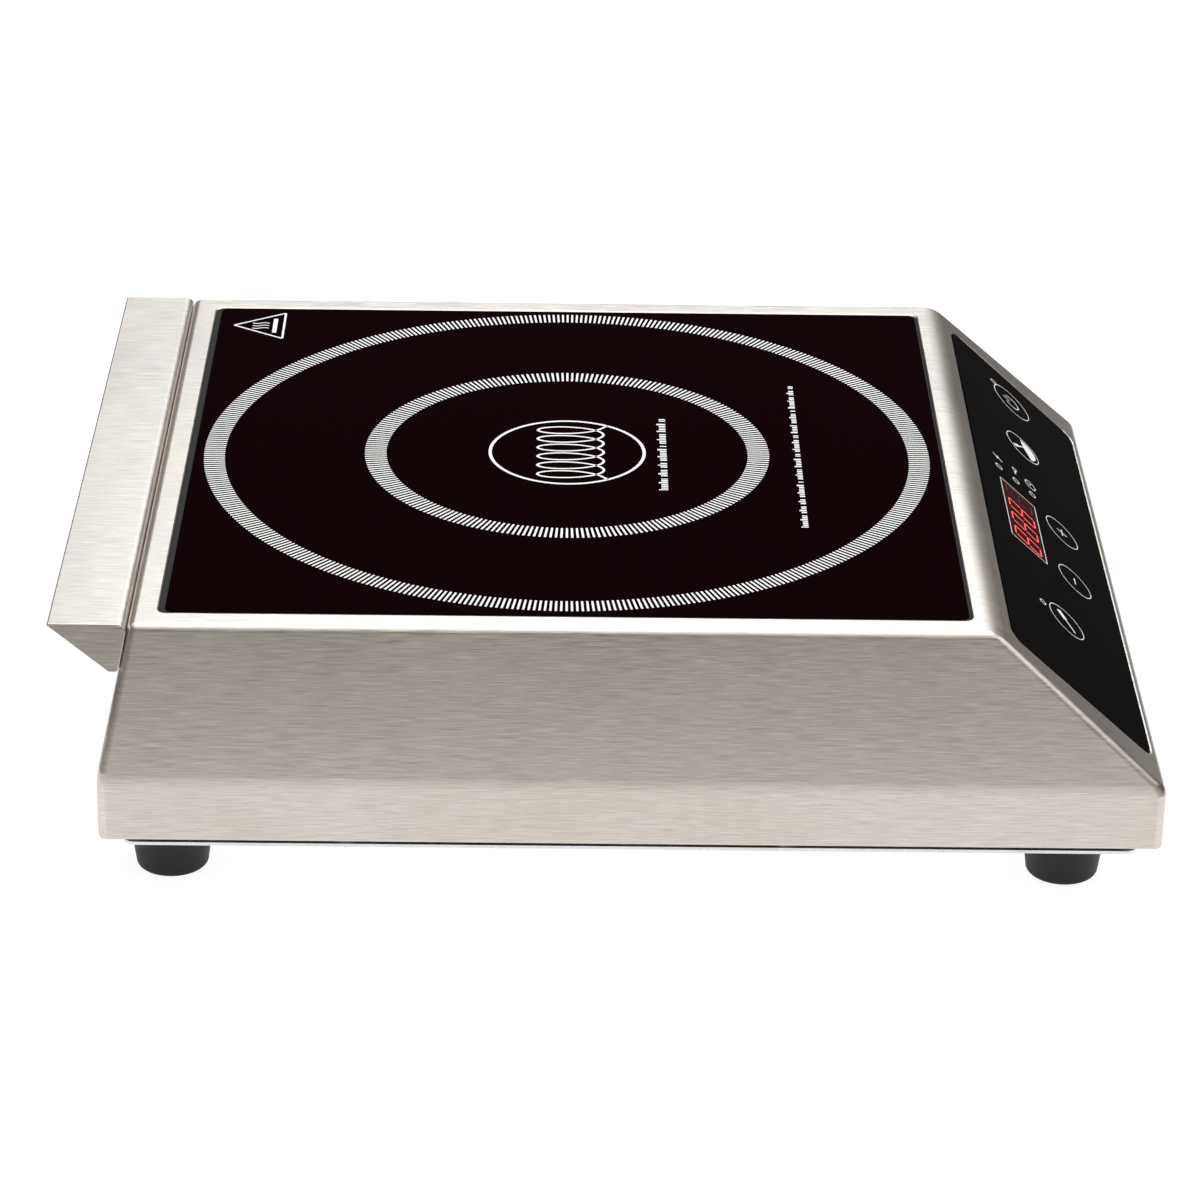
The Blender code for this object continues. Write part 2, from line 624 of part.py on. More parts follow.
def make_base_pan():
    low = (-WIDTH / 2 + PAN_INSET[0], FRONT_Y + PAN_INSET[1], PAN_LOW_Z)
    high = (WIDTH / 2 - PAN_INSET[0], REAR_Y - PAN_INSET[1], PAN_TOP_Z)
    pan = add("base_pan", block(low, high, PAN_CORNER, 4), PAN_STEEL)
    bosses = bmesh.new()
    for place in board_boss_places():
        drum(place, BOSS_R, PAN_TOP_Z - PAN_SHEET / 2, POWER_BOARD_Z - GAP, 12, bosses)
    for place in base_screw_places():
        drum(place, SPACER_R, PAN_TOP_Z - PAN_SHEET / 2, SKIRT_Z - GAP, 16, bosses)
    boolean(pan, add_cutter("pan_bosses", bosses), "UNION")
    holes = bmesh.new()
    cut_low = PAN_LOW_Z - 2 * PAN_SHEET
    cut_high = PAN_TOP_Z + PAN_SHEET
    for place in base_screw_places() + foot_places():
        drum(place, PAN_HOLE_R, cut_low, cut_high, 12, holes)
    grille_r = FAN_BORE_R - GRILLE_BORDER
    rows = int(grille_r // GRILLE_PITCH)
    for index in range(-rows, rows + 1):
        across = index * GRILLE_PITCH
        length = 2 * math.sqrt(grille_r ** 2 - across ** 2)
        centre = (FAN_CENTRE[0] + across, FAN_CENTRE[1])
        slot(centre, GRILLE_SLOT, length, cut_low, cut_high, holes)
    boolean(pan, add_cutter("pan_holes", holes))


def make_foot(name, place):
    """A tapered rubber foot with a counterbore for its screw."""
    top = PAN_LOW_Z - GAP
    profile = ((FOOT_BORE_R, top), (FOOT_TOP_R, top), (FOOT_TOP_R, top - FOOT_COLLAR),
               (FOOT_BASE_R, FOOT_EDGE), (FOOT_BASE_R - FOOT_EDGE, 0), (FOOT_RECESS_R, 0),
               (FOOT_RECESS_R, FOOT_HEAD_Z), (FOOT_BORE_R, FOOT_HEAD_Z))
    foot = turned(name, profile, RUBBER, 20)
    foot.location = (*place, 0)


def make_screw(name, location, rotation, size):
    """A pan-head screw; its head sits above its origin and the shank points down."""
    head_r, head_h, shank_r, length = size
    profile = ((0, head_h), (head_r * 0.6, head_h), (head_r * 0.95, head_h * 0.6),
               (head_r, 0), (shank_r, 0), (shank_r, -length), (0, -length))
    screw = turned(name, profile, ZINC, 12)
    screw.location = location
    screw.rotation_euler = rotation
    return screw


def make_fasteners():
    upside_down = (math.pi, 0, 0)
    names = ("left_front", "left_rear", "right_front", "right_rear")
    for name, place in zip(names, foot_places()):
        make_foot(f"foot_{name}", place)
        make_screw(f"foot_screw_{name}", (*place, FOOT_HEAD_Z - GAP), upside_down, FOOT_SCREW)
    for name, place in zip(names, base_screw_places()):
        make_screw(f"base_screw_{name}", (*place, PAN_LOW_Z - GAP), upside_down, BASE_SCREW)
    inside = SHEET + GAP
    wall_y = TOP_REAR_Y + GUARD_SCREW_DOWN * math.sin(REAR_TILT) - inside * math.cos(REAR_TILT)
    wall_z = TOP_Z - GUARD_SCREW_DOWN * math.cos(REAR_TILT) - inside * math.sin(REAR_TILT)
    through_wall = (math.pi / 2 + REAR_TILT, 0, 0)
    under_bridge = BRIDGE_TOP_Z - BRIDGE_THICK - GAP
    for name, side in (("left", -1), ("right", 1)):
        make_screw(f"guard_screw_{name}", (side * GUARD_SCREW_X, wall_y, wall_z), through_wall,
                   GUARD_SCREW)
        make_screw(f"carrier_screw_{name}", (side * CARRIER_BOSS_X, COIL_Y, under_bridge), upside_down,
                   CARRIER_SCREW)


def make_gland():
    """The cord gland's body, its outer clamping nut and its inner locknut, along Y."""
    along_rear = (-math.pi / 2, 0, 0)
    centre = (GLAND_X, REAR_Y, GLAND_Z)
    body_profile = ((GLAND_BORE_R, GLAND_NECK_Z), (GLAND_NECK_R, GLAND_NECK_Z),
                    (GLAND_NECK_R, GLAND_FLANGE_Z), (GLAND_FLANGE_R, GLAND_FLANGE_Z),
                    (GLAND_FLANGE_R, GAP), (GLAND_THREAD_R, GAP),
                    (GLAND_THREAD_R, GLAND_LOW_Z), (GLAND_BORE_R, GLAND_LOW_Z))
    body = turned("cable_gland_body", body_profile, PLASTIC, 20)
    nut = add("cable_gland_nut", hexagon(GLAND_HEX_R, GLAND_FLANGE_Z + GAP, GLAND_NUT_Z), PLASTIC)
    dome = bmesh.new()
    drum((0, 0), GLAND_NECK_R + GAP, GLAND_FLANGE_Z, GLAND_NECK_Z + GAP, 20, dome)
    boolean(nut, add_cutter("gland_nut_socket", dome))
    mouth = add_cutter("gland_nut_mouth", drum((0, 0), GLAND_BORE_R, GLAND_NECK_Z - MM,
                                              GLAND_NUT_Z + MM, 20))
    boolean(nut, mouth)
    locknut = add("cable_gland_locknut", hexagon(GLAND_HEX_R, LOCKNUT_LOW_Z, -SHEET - GAP), PLASTIC)
    thread = add_cutter("locknut_thread", drum((0, 0), GLAND_THREAD_R + GAP, GLAND_LOW_Z, MM, 20))
    boolean(locknut, thread)
    for item in (body, nut, locknut, mouth, thread, CUTTERS.objects["gland_nut_socket"]):
        item.location = centre
        item.rotation_euler = along_rear


def hexagon(radius, low_z, high_z):
    """A hexagonal prism with two of its corners on the X axis."""
    return drum((0, 0), radius, low_z, high_z, sides=6)


# ============================================================================ coil, carrier, sensor
def make_coil_stack():
    place = (0, COIL_Y, 0)
    low, high = CARRIER_FLOOR_Z
    collar_in, collar_out, collar_height = CARRIER_COLLAR
    rim_r = CARRIER_R - CARRIER_RIM
    carrier_profile = ((CARRIER_HOLE_R, high), (collar_in, high), (collar_in, high + collar_height),
                       (collar_out, high + collar_height), (collar_out, high), (rim_r, high),
                       (rim_r, CARRIER_RIM_Z), (CARRIER_R, CARRIER_RIM_Z), (CARRIER_R, low),
                       (CARRIER_HOLE_R, low))
    carrier = turned("coil_carrier", carrier_profile, PLASTIC, 36)
    carrier.location = place
    bosses = bmesh.new()
    bores = bmesh.new()
    for side in (-1, 1):
        centre = (side * CARRIER_BOSS_X, COIL_Y)
        drum(centre, CARRIER_BOSS_R, BRIDGE_TOP_Z + GAP, (low + high) / 2, 12, bosses)
        drum(centre, CARRIER_SCREW[2] + GAP, BRIDGE_TOP_Z, BRIDGE_TOP_Z + CARRIER_BORE_DEPTH, 10, bores)
    boolean(carrier, add_cutter("carrier_bosses", bosses), "UNION")
    for x, y, z in LEAD_STARTS:
        centred((x, y), LEAD_NOTCH, high + MM, CARRIER_RIM_Z + SHEET, form=bores)
    boolean(carrier, add_cutter("carrier_bores", bores))

    coil = turned("induction_coil", coil_profile(), COPPER, 32)
    coil.location = place
    mica_profile = ((MICA_HOLE_R, MICA_Z[1]), (CARRIER_R, MICA_Z[1]), (CARRIER_R, MICA_Z[0]),
                    (MICA_HOLE_R, MICA_Z[0]))
    mica = turned("mica_sheet", mica_profile, MICA, 32)
    mica.location = place
    for index in range(FERRITE_COUNT):
        angle = (index + 0.5) / FERRITE_COUNT * math.tau
        ferrite_z = high + GAP
        form = centred((FERRITE_R, 0), FERRITE_SIZE[:2], ferrite_z, ferrite_z + FERRITE_SIZE[2])
        bar = add(f"ferrite_bar_{index + 1}", form, FERRITE)
        bar.location = place
        bar.rotation_euler = (0, 0, angle)


def coil_profile():
    """A flat winding: one rounded rib for each group of turns on top, flat below."""
    low, high = COIL_Z
    pitch = (COIL_OUTER_R - COIL_INNER_R) / COIL_RIBS
    points = [(COIL_INNER_R, high - COIL_RIB_DEPTH)]
    for turn in range(COIL_RIBS):
        start = COIL_INNER_R + turn * pitch
        points.append((start + pitch / 2, high))
        points.append((start + pitch, high - COIL_RIB_DEPTH))
    points.append((COIL_OUTER_R, low))
    points.append((COIL_INNER_R, low))
    return points


def strip_outline(path, thickness):
    """The closed outline of a bent strip: a path and its mitred offset to the left."""
    inner = []
    for index, point in enumerate(path):
        before = (point - path[index - 1]).normalized() if index > 0 else None
        after = (path[index + 1] - point).normalized() if index < len(path) - 1 else None
        first = before or after
        second = after or before
        mitre = Vector((-first.y - second.y, first.x + second.x)).normalized()
        inner.append(point + mitre * thickness / mitre.dot(Vector((-first.y, first.x))))
    return [tuple(point) for point in list(path) + inner[::-1]]


def make_coil_bridge():
    """A hat-shaped bracket that spans the base pan and carries the coil carrier."""
    foot_z = PAN_TOP_Z + GAP
    left = [Vector((-BRIDGE_X + BRIDGE_FOOT, foot_z)), Vector((-BRIDGE_X, foot_z)),
            Vector((-BRIDGE_X, BRIDGE_TOP_Z))]
    right = [Vector((-point.x, point.y)) for point in reversed(left)]
    outline = strip_outline(left + right, -BRIDGE_THICK)
    strip = extruded("coil_bridge_strip", outline, BRIDGE_DEPTH, PAN_STEEL)
    bridge = solid_from_curve("coil_bridge", strip)
    bridge.location = (0, COIL_Y, 0)
    holes = bmesh.new()
    for side in (-1, 1):
        drum((side * CARRIER_BOSS_X, COIL_Y), CLEARANCE_HOLE_R, BRIDGE_TOP_Z - 2 * BRIDGE_THICK,
             BRIDGE_TOP_Z + BRIDGE_THICK, 12, holes)
    boolean(bridge, add_cutter("bridge_holes", holes))


def solid_from_curve(name, source):
    """Replace a curve object by a mesh object with welded caps."""
    bpy.context.view_layer.update()
    evaluated = source.evaluated_get(bpy.context.evaluated_depsgraph_get())
    mesh = bpy.data.meshes.new_from_object(evaluated)
    mesh.name = name
    form = bmesh.new()
    form.from_mesh(mesh)
    bmesh.ops.remove_doubles(form, verts=form.verts, dist=WELD)
    form.to_mesh(mesh)
    form.free()
    mesh.shade_smooth()
    mesh.set_sharp_from_angle(angle=SMOOTH_ANGLE)
    item = bpy.data.objects.new(name, mesh)
    item.matrix_world = source.matrix_world
    PARTS.objects.link(item)
    bpy.data.objects.remove(source, do_unlink=True)
    return item


def make_sensor():
    """The sprung temperature probe in the middle of the coil, on its own axis empty."""
    axis = bpy.data.objects.new("sensor_axis", None)
    PARTS.objects.link(axis)
    axis.location = (0, COIL_Y, SENSOR_TRAVEL_TOP_Z)
    chamfer_across, chamfer_down = SENSOR_HEAD_EDGE
    collar_wide, collar_narrow, collar_height = SENSOR_COLLAR
    collar_top = CARRIER_FLOOR_Z[0] - SENSOR_PLAY - SENSOR_TRAVEL_TOP_Z
    profile = ((0, 0), (SENSOR_HEAD_R - chamfer_across, 0), (SENSOR_HEAD_R, -chamfer_down),
               (SENSOR_HEAD_R, -SENSOR_HEAD_DEPTH), (SENSOR_STEM_R, -SENSOR_HEAD_DEPTH),
               (SENSOR_STEM_R, collar_top), (collar_wide, collar_top),
               (collar_narrow, collar_top - collar_height), (0, collar_top - collar_height))
    holder = turned("sensor_holder", profile, SILICONE_WHITE, 24)
    holder.parent = axis
    coil_r, wire_r = SENSOR_SPRING
    low = CARRIER_FLOOR_Z[1] + GAP + wire_r
    high = SENSOR_TRAVEL_TOP_Z - SENSOR_HEAD_DEPTH - GAP - wire_r
    coil = helix(coil_r, low, high, turns=3, per_turn=10)
    spring = tube("sensor_spring", coil, wire_r, SPRING_STEEL, resolution=1)
    spring.location = (0, COIL_Y, 0)


# ======================================================================================== the fan
def make_fan():
    low = PAN_TOP_Z + GAP
    high = low + FAN_DEPTH
    frame = add("fan_frame", centred(FAN_CENTRE, (FAN_SIZE, FAN_SIZE), low, high, FAN_CORNER, 4), PLASTIC)
    boolean(frame, add_cutter("fan_bore", drum(FAN_CENTRE, FAN_BORE_R, low - MM, high + MM, 40)))
    spider = drum(FAN_CENTRE, FAN_HUB_R, low, low + FAN_SEAT_THICK, 24)
    boolean(frame, add_cutter("fan_motor_seat", spider), "UNION")
    for number, turn in enumerate((45, 135), start=1):
        inset = (FAN_SEAT_THICK - FAN_STRUT_THICK) / 2
        size = (2 * FAN_BORE_R + FAN_STRUT_WIDTH, FAN_STRUT_WIDTH)
        arm = centred((0, 0), size, low + inset, low + inset + FAN_STRUT_THICK)
        strut = add_cutter(f"fan_strut_{number}", arm)
        strut.location = (*FAN_CENTRE, 0)
        strut.rotation_euler = (0, 0, math.radians(turn))
        boolean(frame, strut, "UNION")

    axis = bpy.data.objects.new("fan_axis", None)
    PARTS.objects.link(axis)
    axis.location = (*FAN_CENTRE, low)
    hub_high = FAN_DEPTH - MM
    profile = ((0, hub_high), (FAN_HUB_R - FAN_HUB_EDGE, hub_high),
               (FAN_HUB_R, hub_high - FAN_HUB_EDGE), (FAN_HUB_R, FAN_HUB_LOW), (0, FAN_HUB_LOW))
    rotor = turned("fan_rotor", profile, PLASTIC, 28)
    rotor.parent = axis
    blades = bmesh.new()
    inner = FAN_HUB_R - FAN_BLADE_ROOT
    outer = FAN_BORE_R - FAN_TIP_CLEARANCE
    blade_size = (outer - inner, FAN_BLADE_CHORD, FAN_BLADE_THICK)
    blade_centre = ((outer + inner) / 2, 0, (FAN_HUB_LOW + hub_high) / 2)
    for index in range(FAN_BLADES):
        blade = bmesh.ops.create_cube(blades, size=1.0)["verts"]
        bmesh.ops.scale(blades, vec=blade_size, verts=blade)
        bmesh.ops.rotate(blades, matrix=Matrix.Rotation(FAN_BLADE_PITCH, 3, "X"), verts=blade)
        bmesh.ops.translate(blades, vec=blade_centre, verts=blade)
        spin = Matrix.Rotation(index / FAN_BLADES * math.tau, 3, "Z")
        bmesh.ops.rotate(blades, matrix=spin, verts=blade)
    blade_guide = add_cutter("fan_blades", blades)
    blade_guide.parent = axis
    boolean(rotor, blade_guide, "UNION")


# ================================================================================== power board
# Upright parts on the power board: name, middle (x, y), size (x, y, z), corner radius, material.
BOARD_PARTS = (
    ("power_transistor", (22, 51.5), (16, 5, 21), 0.8, "moulding"),
    ("bridge_rectifier", (58, 51.3), (30, 5.4, 20), 0.8, "moulding"),
    ("filter_capacitor", (110, 59), (38, 18, 31), 1.5, "capacitor"),
    ("resonant_capacitor", (112, 101), (38, 22, 34), 1.5, "capacitor"),
    ("standby_transformer", (8, 131), (24, 21, 20), 1.0, "moulding"),
    ("terminal_block", (58, 138), (34, 14, 14), 0.8, "terminal"),
)


CHOKE_CENTRE = mm(108, 132)
CHOKE_SIZE = mm(8, 16, 15, 1)      # bore radius, outer radius, height, chamfer


def make_power_board():
    board_top = POWER_BOARD_Z + BOARD_THICK
    form = centred(POWER_BOARD_CENTRE, POWER_BOARD_SIZE, POWER_BOARD_Z, board_top, 2 * MM, 2)
    add("power_board", form, BOARD)
    seat = board_top + GAP
    finishes = {"moulding": PLASTIC, "capacitor": CAPACITOR, "terminal": TERMINAL}
    for name, centre, size, corner, finish in BOARD_PARTS:
        centre = mm(*centre)
        size = mm(*size)
        form = centred(centre, size[:2], seat, seat + size[2], corner * MM, 2)
        add(name, form, finishes[finish])
    pitch = (SINK_SIZE[0] - SINK_FIN_THICK) / (SINK_FINS - 1)
    half = SINK_SIZE[0] / 2
    outline = [(-half, 0), (half, 0)]
    for index in reversed(range(SINK_FINS)):
        left = -half + index * pitch
        right = left + SINK_FIN_THICK
        outline += [(right, SINK_BASE), (right, SINK_SIZE[2]), (left, SINK_SIZE[2]), (left, SINK_BASE)]
    outline = [point for index, point in enumerate(outline)
               if index not in (2, len(outline) - 1)]
    sink = extruded("heat_sink", outline, SINK_SIZE[1], ALUMINIUM)
    sink.location = (SINK_CENTRE[0], SINK_CENTRE[1], seat)
    bore, rim, height, edge = CHOKE_SIZE
    choke_profile = ((bore, height), (rim - edge, height), (rim, height - 2 * edge),
                     (rim, 2 * edge), (rim - edge, 0), (bore, 0))
    choke = turned("choke_coil", choke_profile, COPPER, 24)
    choke.location = (*CHOKE_CENTRE, seat)


# Where each coil lead leaves the winding, just outside its outermost turn.
LEAD_STARTS = (mm(86.6, 76.2, 91.2), mm(69.6, 96.8, 91.2))
LEAD_R = 1.6 * MM
LEAD_ROUTES = (
    ("coil_lead_inner", (mm(91.5, 79.6, 89.6), mm(93.5, 80.0, 84), mm(93.5, 79.5, 60),
                         mm(93.5, 79.5, 34.0))),
    ("coil_lead_outer", (mm(76.5, 103.5, 90.2), mm(86.5, 111, 84), mm(88.0, 118, 66),
                         mm(88.0, 118, 34.0))),
)
CABLE_R = 2.2 * MM
CABLE_ROUTE = (mm(40, -152, 55.6), mm(40, -146, 47), mm(40, -122, 38), mm(40, -70, 32),
               mm(40, -20, 34), mm(40, 8, 36.5), mm(40, 24, 34.6))


def make_leads():
    for start, (name, route) in zip(LEAD_STARTS, LEAD_ROUTES):
        tube(name, smooth_path([start, *route], 3), LEAD_R, LEAD_RED)
    tube("control_cable", smooth_path(list(CABLE_ROUTE), 3), CABLE_R, LEAD_GREY)


clear_scene()
PARTS = new_collection("induction_cooker")
CUTTERS = new_collection("cutters")

STEEL = new_material("brushed steel", (0.62, 0.60, 0.58), 0.35, 1.0)
PAN_STEEL = new_material("plated steel", (0.55, 0.56, 0.57), 0.45, 1.0)
GLASS = new_material("black ceramic glass", (0.012, 0.008, 0.010), 0.08)
PANEL = new_material("black control glass", (0.010, 0.010, 0.011), 0.10)
SILICONE = new_material("grey silicone", (0.09, 0.09, 0.09), 0.55)
SILICONE_WHITE = new_material("white silicone", (0.75, 0.74, 0.70), 0.6)
RUBBER = new_material("black rubber", (0.015, 0.015, 0.015), 0.75)
ZINC = new_material("zinc-plated steel", (0.70, 0.70, 0.68), 0.35, 1.0)
SPRING_STEEL = new_material("spring steel", (0.60, 0.60, 0.62), 0.3, 1.0)
PLASTIC = new_material("black plastic", (0.03, 0.03, 0.03), 0.5)
COPPER = new_material("enamelled copper", (0.55, 0.22, 0.10), 0.4, 0.8)
MICA = new_material("mica", (0.62, 0.58, 0.50), 0.6)
FERRITE = new_material("ferrite", (0.06, 0.06, 0.065), 0.7)
BOARD = new_material("green board", (0.02, 0.16, 0.07), 0.45)
CAPACITOR = new_material("capacitor case", (0.72, 0.55, 0.10), 0.45)
TERMINAL = new_material("terminal block", (0.55, 0.60, 0.58), 0.5)
ALUMINIUM = new_material("aluminium", (0.72, 0.72, 0.73), 0.4, 1.0)
LEAD_RED = new_material("red lead", (0.45, 0.03, 0.02), 0.5)
LEAD_GREY = new_material("grey cable", (0.35, 0.35, 0.36), 0.5)

make_housing()
make_rear_guard()
make_cooking_glass()
make_control_panel()
make_control_electronics()
make_base_pan()
make_fasteners()
make_gland()
make_coil_stack()
make_coil_bridge()
make_sensor()
make_fan()
make_power_board()
make_leads()
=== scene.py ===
import json
import math

import bmesh
import bpy
from mathutils import Matrix, Vector


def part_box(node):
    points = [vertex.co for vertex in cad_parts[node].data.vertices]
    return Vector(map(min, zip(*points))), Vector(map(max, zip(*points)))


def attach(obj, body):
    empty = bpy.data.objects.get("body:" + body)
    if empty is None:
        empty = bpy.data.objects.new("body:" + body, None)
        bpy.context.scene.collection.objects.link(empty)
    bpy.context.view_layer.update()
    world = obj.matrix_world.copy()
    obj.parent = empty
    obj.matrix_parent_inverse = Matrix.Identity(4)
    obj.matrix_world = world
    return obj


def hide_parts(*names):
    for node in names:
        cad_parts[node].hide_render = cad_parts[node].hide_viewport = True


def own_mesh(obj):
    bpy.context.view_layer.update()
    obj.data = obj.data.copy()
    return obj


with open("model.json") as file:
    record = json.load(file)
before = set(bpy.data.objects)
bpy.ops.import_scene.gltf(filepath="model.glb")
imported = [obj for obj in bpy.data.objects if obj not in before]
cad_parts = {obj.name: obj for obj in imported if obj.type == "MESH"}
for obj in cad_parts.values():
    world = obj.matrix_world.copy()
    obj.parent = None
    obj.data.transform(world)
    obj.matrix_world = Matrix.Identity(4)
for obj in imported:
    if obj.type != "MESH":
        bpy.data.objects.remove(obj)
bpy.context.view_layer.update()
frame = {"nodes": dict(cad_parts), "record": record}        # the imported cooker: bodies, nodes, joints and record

MM = 0.001

# ---- sizes repeated from the cooker's CAD; outlines are read from the frame ---------------------
HOUSING_LOW, HOUSING_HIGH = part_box("top_housing")
GUARD_LOW, GUARD_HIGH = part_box("rear_guard")
GLASS_LOW, GLASS_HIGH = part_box("glass_top")
SEAL_LOW, SEAL_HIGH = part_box("glass_seal")
TOP_Z = HOUSING_HIGH.z
SHEET = 1.0 * MM
TOP_WIDTH = 300 * MM
TOP_FRONT_Y = -133.1 * MM
TOP_REAR_Y = 166.5 * MM
BEND_Z = 45.4 * MM
FOLD = 2.5 * MM                    # how far an ordinary fold reaches along each face
BROW_FOLD = 4.6 * MM               # the widest: above the slope, and where the rear wall ends
CORNER_FOLD = 3.4 * MM             # upright corners of the skirt and of the rear
FOOT_FOLD = 1.5 * MM               # where the skirt turns in
FOLD_SEGMENTS = 6
FLANGE = 13 * MM
SLOPE_ANGLE = math.atan2(TOP_Z - BEND_Z, TOP_FRONT_Y - HOUSING_LOW.y)
REAR_TILT = math.atan2(HOUSING_HIGH.y - TOP_REAR_Y, TOP_Z - BEND_Z)
SIDE_TAPER = (HOUSING_HIGH.x - TOP_WIDTH / 2) / (TOP_Z - BEND_Z)

GLASS_OPENING = (280.4 * MM, 282.5 * MM)
GLASS_OPENING_Y = 15.75 * MM
GLASS_CORNER = 3.6 * MM
GLASS_DROP = 0.10 * MM             # glass surface below the rim, so that its print ends flush
GLASS_EDGE = 0.7 * MM
SEAL_EDGE = 0.3 * MM
SEAL_GAP = 0.25 * MM
SEAL_WIDTH = 7 * MM
PRINT_THICK = 0.05 * MM
PRINT_SUNK = 0.01 * MM
GLASS_SEAT_Z = TOP_Z - 5.1 * MM
GLASS_LEDGE = 8 * MM
RIM_CHAMFER = 0.5 * MM
GUARD_GAP = 0.05 * MM
GUARD_TIP = 3.2 * MM               # width of the blunt lower edge
GUARD_BRIM = 0.6 * MM              # of the thin rear edge
GUARD_FOLDS = (2.9 * MM, 1.0 * MM, 1.2 * MM, 0.35 * MM, 0.35 * MM)
GUARD_END_FOLD = 1.1 * MM

PANEL_OPENING = (279 * MM, 70.4 * MM)
PANEL_DOWN = 44.1 * MM
PANEL_MARGIN = 0.5 * MM
PANEL_THICK = 3 * MM
PANEL_SEAT = 4.1 * MM
PANEL_CORNER = 6 * MM
PANEL_LEDGE = 6 * MM
DISPLAY_BOX = (-36.7, -40.4, 14.0, -21.8)      # left, low, right, high on the slope, millimetres

VENT_COUNT = 9
VENT_PITCH = 9 * MM
VENT_SIZE = (4.4 * MM, 24 * MM)
VENT_DOWN = 38 * MM
VENT_GROUP_X = 74 * MM
GLAND_PLACE = (110 * MM, HOUSING_HIGH.y, 34 * MM)
GLAND_HOLE_R = 8.1 * MM

FOOT_TAPER = 2.3                   # the feet's measures are in millimetres
FOOT_EDGE_R = 1.9
FOOT_RECESS_R = 5.4
FOOT_BORE_R = 2.6
FOOT_RECESS = 7
SCREW_SIZES = {"foot": (4.6, 3.0, 2.0), "base": (3.6, 2.2, 1.8)}   # head radius, height, shank
SCREW_SLOT = 0.9

SPRING_WIRE = 0.5 * MM
SPRING_TURNS = 3

# ---- printed rings and signs on the cooking glass, in millimetres from the middle of the rings --
RING_CENTRE = (0.0, 15.5 * MM)
RINGS = (("ring_print_outer", 128.0, 135.8, 450), ("ring_print_inner", 67.7, 75.8, 240))
TICK_SHARE = 0.43                  # of the pitch between two ticks
NOTICES = (("notice_short", 33.7, -35.6, 3.4), ("notice_long", 65.0, -86.2, 2.6))

SLOPE = Matrix.Translation((0, TOP_FRONT_Y, TOP_Z)) @ Matrix.Rotation(SLOPE_ANGLE, 4, "X")
REAR_WALL = (Matrix.Translation((0, TOP_REAR_Y, TOP_Z))
             @ Matrix.Rotation(-math.pi / 2 + REAR_TILT, 4, "X"))


# ==================================================================================== materials
def new_finish(name, colour, roughness, metallic=0.0, **constants):
    """A Principled material; constants go straight onto the shader's own sockets."""
    finish = bpy.data.materials.new(name)
    finish.use_nodes = True
    tree = finish.node_tree
    shader = tree.nodes["Principled BSDF"]
    shader.inputs["Base Color"].default_value = (*colour, 1)
    shader.inputs["Roughness"].default_value = roughness
    shader.inputs["Metallic"].default_value = metallic
    for socket, value in constants.items():
        shader.inputs[socket.replace("_", " ")].default_value = value
    finish.diffuse_color = (*colour, 1)
    return finish, tree, shader


def math_node(tree, operation, first, second=0.0):
    node = tree.nodes.new("ShaderNodeMath")
    node.operation = operation
    for socket, value in zip(node.inputs, (first, second)):
        if isinstance(value, (int, float)):
            socket.default_value = value
        else:
            tree.links.new(value, socket)
    return node.outputs[0]


def noise(tree, vector, scale, detail=3.0, roughness=0.5):
    node = tree.nodes.new("ShaderNodeTexNoise")
    node.inputs["Scale"].default_value = scale
    node.inputs["Detail"].default_value = detail
    node.inputs["Roughness"].default_value = roughness
    tree.links.new(vector, node.inputs["Vector"])
    return node.outputs["Fac"]


def spread(tree, value, low, high, start=0.3, end=0.7):
    """Map a pattern's useful range onto low..high."""
    node = tree.nodes.new("ShaderNodeMapRange")
    tree.links.new(value, node.inputs["Value"])
    for socket, number in (("From Min", start), ("From Max", end),
                           ("To Min", low), ("To Max", high)):
        node.inputs[socket].default_value = number
    return node.outputs["Result"]


def tint(tree, factor, dark, light):
    node = tree.nodes.new("ShaderNodeMix")
    node.data_type = "RGBA"
    tree.links.new(factor, node.inputs["Factor"])
    node.inputs["A"].default_value = (*dark, 1)
    node.inputs["B"].default_value = (*light, 1)
    return node.outputs["Result"]


def add_bump(tree, shader, height, distance, strength):
    node = tree.nodes.new("ShaderNodeBump")
    node.inputs["Strength"].default_value = strength
    node.inputs["Distance"].default_value = distance
    tree.links.new(height, node.inputs["Height"])
    tree.links.new(node.outputs["Normal"], shader.inputs["Normal"])


def shades(colour, amount):
    """A darker and a lighter shade of a colour."""
    return ([channel * (1 - amount) for channel in colour],
            [min(1.0, channel * (1 + amount)) for channel in colour])


def object_place(tree):
    return tree.nodes.new("ShaderNodeTexCoord").outputs["Object"]


STREAK_SHADE = 0.24
STREAK_RANGE = (0.36, 0.64)        # of the grain's noise, stretched over the whole shade
WARM_STEEL = (0.655, 0.605, 0.55)
SIDE_FACING = 0.7                  # a face counts as a side from this X share of its normal


